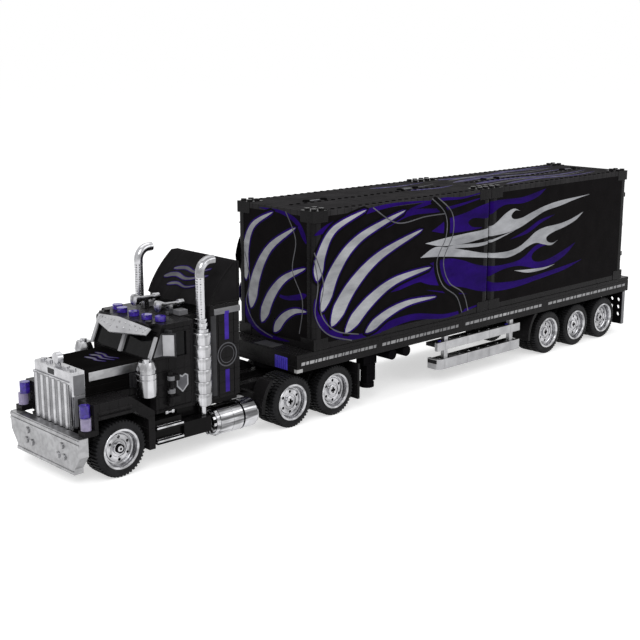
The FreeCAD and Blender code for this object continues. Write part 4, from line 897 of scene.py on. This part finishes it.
def make_roof_caps():
    """Low round caps in pairs along the middle of the roofs, with a pale bar between, and rows of pin heads."""
    caps, bars = Pile(), Pile()
    for y in LATCH_Y:
        for step in (-10, 10):
            caps.disc([(0, 3.2), (0.9, 3.2), (1.2, 2.8)], (-4, y + step, ROOF_Z), ALONG_Z, 24)
        bars.box(-5.2, -2.8, y - 5.6, y + 5.6, ROOF_Z - 0.05, ROOF_Z + 0.6)
    for start in (204, 428.4):
        for k in range(24):
            for x in (-44.6, 3.4, 44.6):
                caps.disc([(0, 1.7), (0.6, 1.7)], (x, start + 8 * k, ROOF_Z), ALONG_Z, 12)
    caps.make("roof_caps", matt_black, "black", 40, body="trailer")
    bars.make("roof_bars", grey_print, "black", bevel=0.2, body="trailer")


# Small parts of the tractor and trailer

def make_nose_trim():
    Pile().box(26.3, 26.95, -12, 30, 70.2, 76.8).pair("bonnet_mouldings", satin, "silver", bevel=0.2)
    sides = Pile().box(25.6, 26.14, -24.4, -15.2, 62, 76.6).box(25.6, 26.14, -24.4, -15.2, 38.6, 61.2)
    sides.pair("radiator_sides", light_plain, "silver", bevel=0.3)
    Pile().box(-5, 3.4, -26.75, -26.2, 73.2, 77.4).make("radiator_plate", dark_plain, "silver", bevel=0.3)
    heads = Pile()
    for x, z in ((24, 26.8), (18.3, 18.6), (26.2, 18.8)):
        heads.disc([(0, 2.55), (0.4, 2.55), (0.8, 2.1), (1, 1.2), (1.05, 0)], (x, -35.3, z), (0, -1, 0), 28)
    heads.pair("bumper_heads", chrome, "silver", 30)
    blades = blades_of([(3.4, -9, 12, -2, 15, 6, 13, 16, 17), (2.6, -12, 19, -3, 20, 5, 18, 14, 22),
                        (2.4, -6, 6, 2, 8, 8, 7, 15, 10)])
    layers = (("rims", [grown(b, 0.9) for b in blades], purple_print, 0.04),
              ("blades", blades, grey_print, 0.08))
    films("bonnet_", layers, lambda x, y, h: (x, y, BONNET_Z + h), "black")


def make_visor_pins():
    """Small bright pin heads in two rows on each half of the sun visor."""
    pile = Pile()
    mid_top, mid_low = Vector((0, 33, 106.5)), Vector((0, 23.5, 96.5))
    end_top, end_low = Vector((34.2, 37.3, 102.5)), Vector((32.8, 33.4, 98.1))
    normal = (end_top - mid_top).cross(mid_low - mid_top).normalized()
    normal = normal if normal.y < 0 else -normal
    for v, count in ((0.26, 6), (0.62, 5)):
        for k in range(count):
            spot = mid_top.lerp(mid_low, v).lerp(end_top.lerp(end_low, v), (k + 0.7) / (count + 0.3))
            pile.disc([(-0.3, 0.85), (0.3, 0.85), (0.45, 0.6)], spot, normal, 12)
    pile.pair("visor_pins", chrome, "silver", 40)


def make_cab_trim():
    for s, side in SIDES:
        body = "door_" + side
        clips = Pile()
        for z in (53, 63):
            clips.ring(1.7, 2.95, 3.2, (s * 43.2, 48.2, z), ALONG_Z, 32)
        clips.make("clip_covers_" + side, light_plain, "silver", 40, 0.15, body)
        shield = [(55.4, 63.4), (58, 64.8), (60.7, 63.4), (63.4, 64.8), (66.2, 63.2), (66.2, 55.6), (60.8, 50.4),
                  (55.4, 55.8)]
        layers = (("rim_" + side, [shield], silver_print, 0.08),
                  ("field_" + side, [grown(shield, -1.3)], grey_print, 0.14))
        films("door_shield_", layers, on_side(CAB_X, s), "silver", body)
    glass = Pile().slab([(35.4, 81.6), (45.6, 81.6), (45.6, 98), (42.4, 98)], on_side(CAB_X), -0.1, 0.12)
    glass.pair("quarter_lights", light_plain, "black")
    Pile().box(16.9, 25.1, 70.4, 78.6, 105.2, 109.06).pair("roof_boxes", light_plain, "black", bevel=0.2)
    make_steps()
    make_mirror_panels()
    catch = Pile().box(43.2, 44.6, 41, 49, 38.7, 39.7)
    for y in (41, 46.6):
        catch.box(43, 45, y, y + 2.6, 38.2, 40.6)
    catch.pair("side_catches", chrome, "silver", bevel=0.3)
    sill = Pile().slab([(58, 29.2), (83.4, 29.2), (83.4, 37.6), (80, 38.3), (58, 38.3)],
                       on_side(0), 29, 35.2)
    sill.slab([(83.2, 33), (117, 33), (117, 38.3), (83.2, 38.3)], on_side(0), 29.4, 35)
    sill.pair("cab_sills", black_plain, "black", bevel=0.3)


def make_steps():
    """Two treads a side: a slim front bar, a second bar and ties behind it, over a dark plate."""
    bars, slats = Pile(), Pile()
    for z in (17.2, 27.6):
        bars.box(46.6, 48.15, 30.9, 55.1, z + 1.5, z + 2.9)
        bars.box(43.6, 44.6, 33.4, 55.1, z + 2.2, z + 2.95)
        for k in range(4):
            y = 33.6 + 6.7 * k
            bars.box(44.4, 46.9, y, y + 1.1, z + 1.6, z + 2.7)
        slats.box(43.2, 46.8, 31.4, 55, z - 0.2, z + 0.9)
    bars.pair("step_treads", chrome, "silver", bevel=0.2)
    slats.pair("step_slots", black_plain, "black", bevel=0.1)


def make_mirror_panels():
    """Bright panel with a bevelled border on the outward face of each mirror."""
    pile = Pile()
    middle = Vector((46.4, 45, 0))
    along, out = Vector((1, 1, 0)).normalized(), Vector((1, -1, 0)).normalized()
    for u0, u1, z0, z1, low, high in ((-4.6, 3.9, 82.9, 98.6, 0.9, 1.25), (-4, 3.3, 83.5, 98, 1.2, 1.45)):
        pile.slab([(u0, z0), (u1, z0), (u1, z1), (u0, z1)],
                  lambda u, z, h: middle + Vector((0, 0, z)) + along * u + out * h, low, high)
    pile.pair("mirror_panels", pale_panel, "silver", bevel=0.1)


def make_sleeper_trim():
    stripe = Pile()
    for low, high in ((42, 60), (84, 105)):
        stripe.slab([(102, low), (106, low), (106, high), (102, high)], on_side(CAB_X), -0.1, 0.05)
    stripe.box(40.6, 40.76, 102, 106, 104.4, 106.6).pair("sleeper_stripe", bright_purple, "black")
    rings = Pile()
    for r0, r1 in ((8.6, 9.6), (6.4, 6.9)):
        rings.ring(r0, r1, 0.1, (CAB_X, 104, 72), (1, 0, 0), 48)
    rings.pair("sleeper_rings", grey_print, "black")
    corner = Pile().slab([(88.7, 39.8), (93.7, 39.8), (93.4, 40.5), (92.4, 40.9), (90.4, 40.9), (89.2, 40.5)],
                         lambda y, x, h: (x, y, h), 41, 104.2)
    corner.pair("sleeper_corners", mid_plain, "black", bevel=0.2)
    ledge = Pile().slab([(39.2, 109.4), (40.1, 109.4), (40.7, 108), (40.7, 104.6), (39.2, 104.6)],
                        lambda x, z, h: (x, h, z), 92, 117.4)
    ledge.pair("sleeper_ledges", light_plain, "black", bevel=0.3)
    rim = Pile().slab(ribbon([(89.6, 114), (93.4, 121.6), (98.6, 128), (105, 134.6), (112.6, 141)], 1.6),
                      on_side(FAIRING_X), -0.2, 0.45)
    rim.box(39.3, 39.95, 91, 117, 113.2, 114.6).box(39.3, 39.95, 115.4, 117, 114.4, 142.2)
    rim.pair("fairing_rims", black_plain, "black", bevel=0.1)


def make_fairing_print():
    """Slim blades laid on the fairing's curved front."""
    # y, z at the middle of the front's foot, half way up and at its top, and how far y falls back at the side
    rows = ((80.4, 112.3, 7), (92.4, 127.3, 3.6), (111, 143.5, 0.8))

    def place(x, t, h):
        """t runs from 0 at the foot to 10 at the top."""
        t /= 10
        weights = (2 * (t - 0.5) * (t - 1), -4 * t * (t - 1), 2 * t * (t - 0.5))
        side = (x / FAIRING_X) ** 2
        y = sum(w * (row[0] + row[2] * side) for w, row in zip(weights, rows))
        z = sum(w * row[1] for w, row in zip(weights, rows))
        return x, y - 0.8 * h, z + 0.6 * h

    blades = blades_of([
        (1.1, -24, 4.6, -10, 5.6, 6, 5.2, 26, 6.6), (0.8, -18, 6.6, -4, 7.2, 10, 6.8, 24, 8),
        (0.7, -14, 3.2, -2, 3.9, 10, 3.5, 22, 4.4),
    ])
    layers = (("rims.001", [grown(b, 0.16) for b in blades], purple_print, 0.25),
              ("blades", blades, grey_print, 0.32))
    films("fairing_", layers, place, "black", folds=range(-30, 33, 3))


def make_tanks():
    """Fuel tanks with stepped ends, dark gap bands and spoked front ends."""
    bands = Pile().ring(8.8, 10.6, 1.6, (TANK_X, 113.4, TANK_Z), ALONG_Y, 48)
    bands.pair("tank_bands", black_plain, "black", 30)
    slots = Pile().lathe([(0, 6), (0, 9.1), (2.4, 9.5), (2.4, 6)], (TANK_X, 85.8, TANK_Z), ALONG_Y)
    slots.pair("tank_slots", black_plain, "black", 30)
    spokes = Pile()
    for k in range(12):
        a = math.pi / 6 * k
        dx, dz = math.cos(a), math.sin(a)
        spokes.slab([(-0.8, 4), (0.8, 4), (1.1, 9.9), (-1.1, 9.9)],
                    lambda u, v, h: (TANK_X + v * dx - u * dz, 86 - h, TANK_Z + v * dz + u * dx), -2.4, 0.4)
    spokes.pair("tank_spokes", silver, "silver")
    tanks = Pile().disc([
        (0, 5.8), (0.4, 6.4), (1.8, 6.6), (1.8, 8.4), (4.2, 8.8), (4.2, 10.4), (4.6, 10.8),
        (7, 11.2), (7.2, 12), (19, 12), (19.1, 11.7), (19.7, 11.7), (19.8, 12), (29.3, 12),
        (29.5, 10.4), (30.9, 10.4), (31.1, 12), (43.4, 12), (43.6, 11.2), (45.4, 10.8), (45.6, 9.4),
        (46.4, 9),
    ], (TANK_X, 84, TANK_Z), ALONG_Y, 64)
    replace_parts(tanks.pair("tank_drums", tank_coat, "silver", 30), "fuel_tanks")


def make_stacks():
    """Muffler of six ringed drums, stepped collar, pierced riser and an elbow with an open mouth."""
    foot, count, pitch, r = 37, 6, 9.5, 7.45
    profile = [(0, 6.8)]
    for k in range(count):
        low = k * pitch
        high = low + pitch
        profile += [(low + 0.1, r - 0.25), (low + 0.4, r), (high - 0.4, r), (high - 0.1, r - 0.25)]
    profile += [(count * pitch, 6.8), (count * pitch, 5.8), (59.4, 5.8), (59.6, 4.4), (61.6, 4.4), (61.8, 5.1),
                (64.2, 5.1), (64.4, 4.2), (65.6, 4.2), (65.8, 4.7), (67.4, 4.7), (67.6, 3.5), (68, 0)]
    drums = Pile().disc(profile, (STACK_X, STACK_Y, foot), ALONG_Z, 48).mirrored()
    for x0, x1 in ((-35, -28.4), (28.4, 35)):
        for z in (52, 84):
            drums.box(x0, x1, 77.6, 81.6, z, z + 4)
    drums.make("muffler_drums", upright, "silver", 40)
    seams = Pile()
    for k in range(1, count):
        seams.lathe([(-0.15, 6.4), (-0.15, 7.3), (0.15, 7.3), (0.15, 6.4)],
                    (STACK_X, STACK_Y, foot + k * pitch), ALONG_Z, 40)
    seams.pair("muffler_seams", light_plain, "black", 40)
    sleeve = Pile().ring(2.6, 3.45, 31.5, (STACK_X, STACK_Y, 104.4), ALONG_Z, 40)
    sleeve.pair("stack_sleeves", pierced, "silver", 30)
    y, bend_z, r = STACK_Y, 138.4, 9.5
    stations = [(y, 103, 3.1, 0), (y, 135.8, 3.1, 0), (y, 135.9, 3.6, 0), (y, bend_z, 3.6, 0)]
    stations += [(y + r - r * math.cos(math.radians(a)), bend_z + r * math.sin(math.radians(a)), 3.6, a)
                 for a in range(9, 91, 9)]
    mouth = ((12.6, 3.6), (12.9, 3.3), (12.9, 2.7), (9.6, 2.7))
    stations += [(y + out, bend_z + r, radius, 90) for out, radius in mouth]
    pipe = Pile().tube(STACK_X, stations)
    pipe.disc([(0, 2.5), (8.3, 2.5)], (STACK_X, y, 28.9), ALONG_Z)
    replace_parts(pipe.pair("stack_pipes", chrome, "silver", 40), "exhaust_stacks")


def make_cleaners():
    """Canister with a ring below its conical lid, on a dark bracket from the bonnet's side."""
    cans = Pile().disc([
        (0, 6.9), (0.9, 7.6), (13, 7.6), (13.2, 7.3), (13.7, 7.3), (13.9, 7.6), (17.4, 7.6),
        (17.6, 6.9), (19.9, 6.9), (20.1, 7.4), (20.7, 7.4), (26.1, 5.6), (26.2, 2.8), (28, 2.6), (28.1, 0),
    ], (42, 27.2, 54.8), ALONG_Z, 48)
    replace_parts(cans.pair("cleaner_cans", upright, "silver", 40), "air_cleaners")
    arms = Pile().box(26.3, 36, 25.2, 28.8, 58.6, 67.6).box(26.2, 27.6, 22.4, 31.6, 58.6, 69.6)
    arms.pair("cleaner_arms", dark_plain, "black", bevel=0.3)


def make_hub_caps():
    """Bright centres of the front hubs, round the end of each spindle."""
    for s, side in SIDES:
        cap = Pile().disc([(0, 2.55), (1, 2.5), (1.5, 1.9), (1.5, 1), (1, 0.9)],
                          (s * 44.75, 0, WHEEL_R), (s, 0, 0), 24)
        cap.make("hub_cap_" + side, chrome, "silver", 30, body="front_wheel_" + side)


def studs(spots):
    """Studs of the skirts' shelves, at (y, z)."""
    pile, r, h = Pile(), 1.6, 1.4
    for y, z in spots:
        pile.disc([(0, r), (h - 0.25, r), (h, r - 0.25)], (43, y, z), ALONG_Z, 20)
    return pile


def make_trailer_trim():
    deck = Pile().box(-8, 14, 171.5, 184, DECK_Z - 0.1, DECK_Z + 0.5)
    deck.make("deck_plate", mid_plain, "dark_grey", bevel=0.1, body="trailer")
    edges = Pile().box(47.3, 48.1, 640.9, 645.1, 9.2, 44.5)
    edges.pair("tail_edges", light_plain, "dark_grey", bevel=0.15, body="trailer")
    ribs = Pile()
    for k in range(6):
        x = 21 + 2.55 * k
        ribs.box(x, x + 1.7, 169, 169.6, 45.8, 55.8)
    ribs.box(20.6, 36.2, 169.3, 169.6, 45.5, 56.1)
    ribs.make("nose_grille", purple_solid, "black", bevel=0.1, body="trailer")
    tiles = Pile().box(44.4, 48.1, 169.4, 175.6, 45.05, 48)
    tiles.pair("nose_tiles", white_print, "silver", bevel=0.15, body="trailer")
    ys = [349 + 14 * k for k in range(8)]
    upper, lower = 39, 22.6
    silvers = studs([(y, upper) for y in ys[1:-1]] + [(y, lower) for y in ys])
    silvers.pair("skirt_studs", silver, "silver", 40, body="trailer")
    studs([(ys[0], upper), (ys[-1], upper)]).pair("skirt_end_studs", purple_solid, "black", 40, body="trailer")


make_wheels()
make_prints()
make_roof_caps()
make_nose_trim()
make_visor_pins()
make_cab_trim()
make_sleeper_trim()
make_fairing_print()
make_tanks()
make_stacks()
make_cleaners()
make_hub_caps()
make_trailer_trim()
for name in ("air_horns", "roof_lamps", "headlamps", "air_tanks"):
    soften(nodes[name], 28)


# Floor, light and camera

def seen_ray(t):
    """1 for camera, glossy and transmission rays, else 0."""
    path = t.add("LightPath").outputs
    shiny = t.math("MAXIMUM", path["Is Camera Ray"], path["Is Glossy Ray"])
    return t.math("MAXIMUM", shiny, path["Is Transmission Ray"])


def make_floor():
    mesh = bpy.data.meshes.new("floor")
    corners = [(x * FLOOR_HALF, y * FLOOR_HALF, 0) for x, y in ((-1, -1), (1, -1), (1, 1), (-1, 1))]
    mesh.from_pydata(corners, [], [(0, 1, 2, 3)])
    mat = bpy.data.materials.new("pale floor")
    mat.use_nodes = True
    mat.node_tree.nodes.clear()
    t = Tree(mat.node_tree)
    diffuse = t.add("BsdfDiffuse", {"Color": (0.8, 0.8, 0.8, 1.0)})
    glow = t.add("Emission", {"Strength": t.times(seen_ray(t), FLOOR_LIFT)})
    both = t.add("AddShader", {0: diffuse.outputs[0], 1: glow.outputs[0]})
    t.add("OutputMaterial", {"Surface": both.outputs[0]})
    mesh.materials.append(mat)
    place_object("floor", mesh)


def make_world():
    world = bpy.data.worlds.new("studio")
    world.use_nodes = True
    scene.world = world
    t = Tree(world.node_tree)
    back = world.node_tree.nodes["Background"]
    t.put(back.inputs["Color"], (1.0, 1.0, 1.0, 1.0))
    t.put(back.inputs["Strength"], t.span(seen_ray(t), 0.0, 1.0, WORLD_LEVEL, 1.0))


def area_light(name, place, target, size, power):
    """Rectangular light at a place in metres, aimed at a target."""
    data = bpy.data.lights.new(name, "AREA")
    data.shape = "RECTANGLE"
    data.size, data.size_y = size
    data.energy = power
    lamp = place_object(name, data)
    lamp.location = place
    lamp.rotation_euler = (Vector(target) - Vector(place)).to_track_quat("-Z", "Y").to_euler()


def make_camera():
    data = bpy.data.cameras.new("camera")
    data.lens = 66.61
    data.sensor_width = 36.0
    data.clip_start = 0.01
    data.clip_end = 50.0
    cam = place_object("camera", data)
    cam.location = (0.7353, -0.755, 0.3084)
    cam.rotation_euler = [math.radians(a) for a in (76.69, 0.06, 46.89)]
    scene.camera = cam


make_world()
make_floor()
make_camera()
area_light("key", (1.0, -1.3, 1.3), (0.0, -0.1, 0.06), (0.9, 0.9), 10.0)
area_light("side", (1.5, 0.6, 0.9), (0.0, 0.1, 0.06), (1.2, 0.8), 6.0)
area_light("top", (-0.3, 0.0, 1.6), (0.0, 0.0, 0.1), (1.4, 1.4), 8.0)
scene.view_settings.view_transform = "Standard"
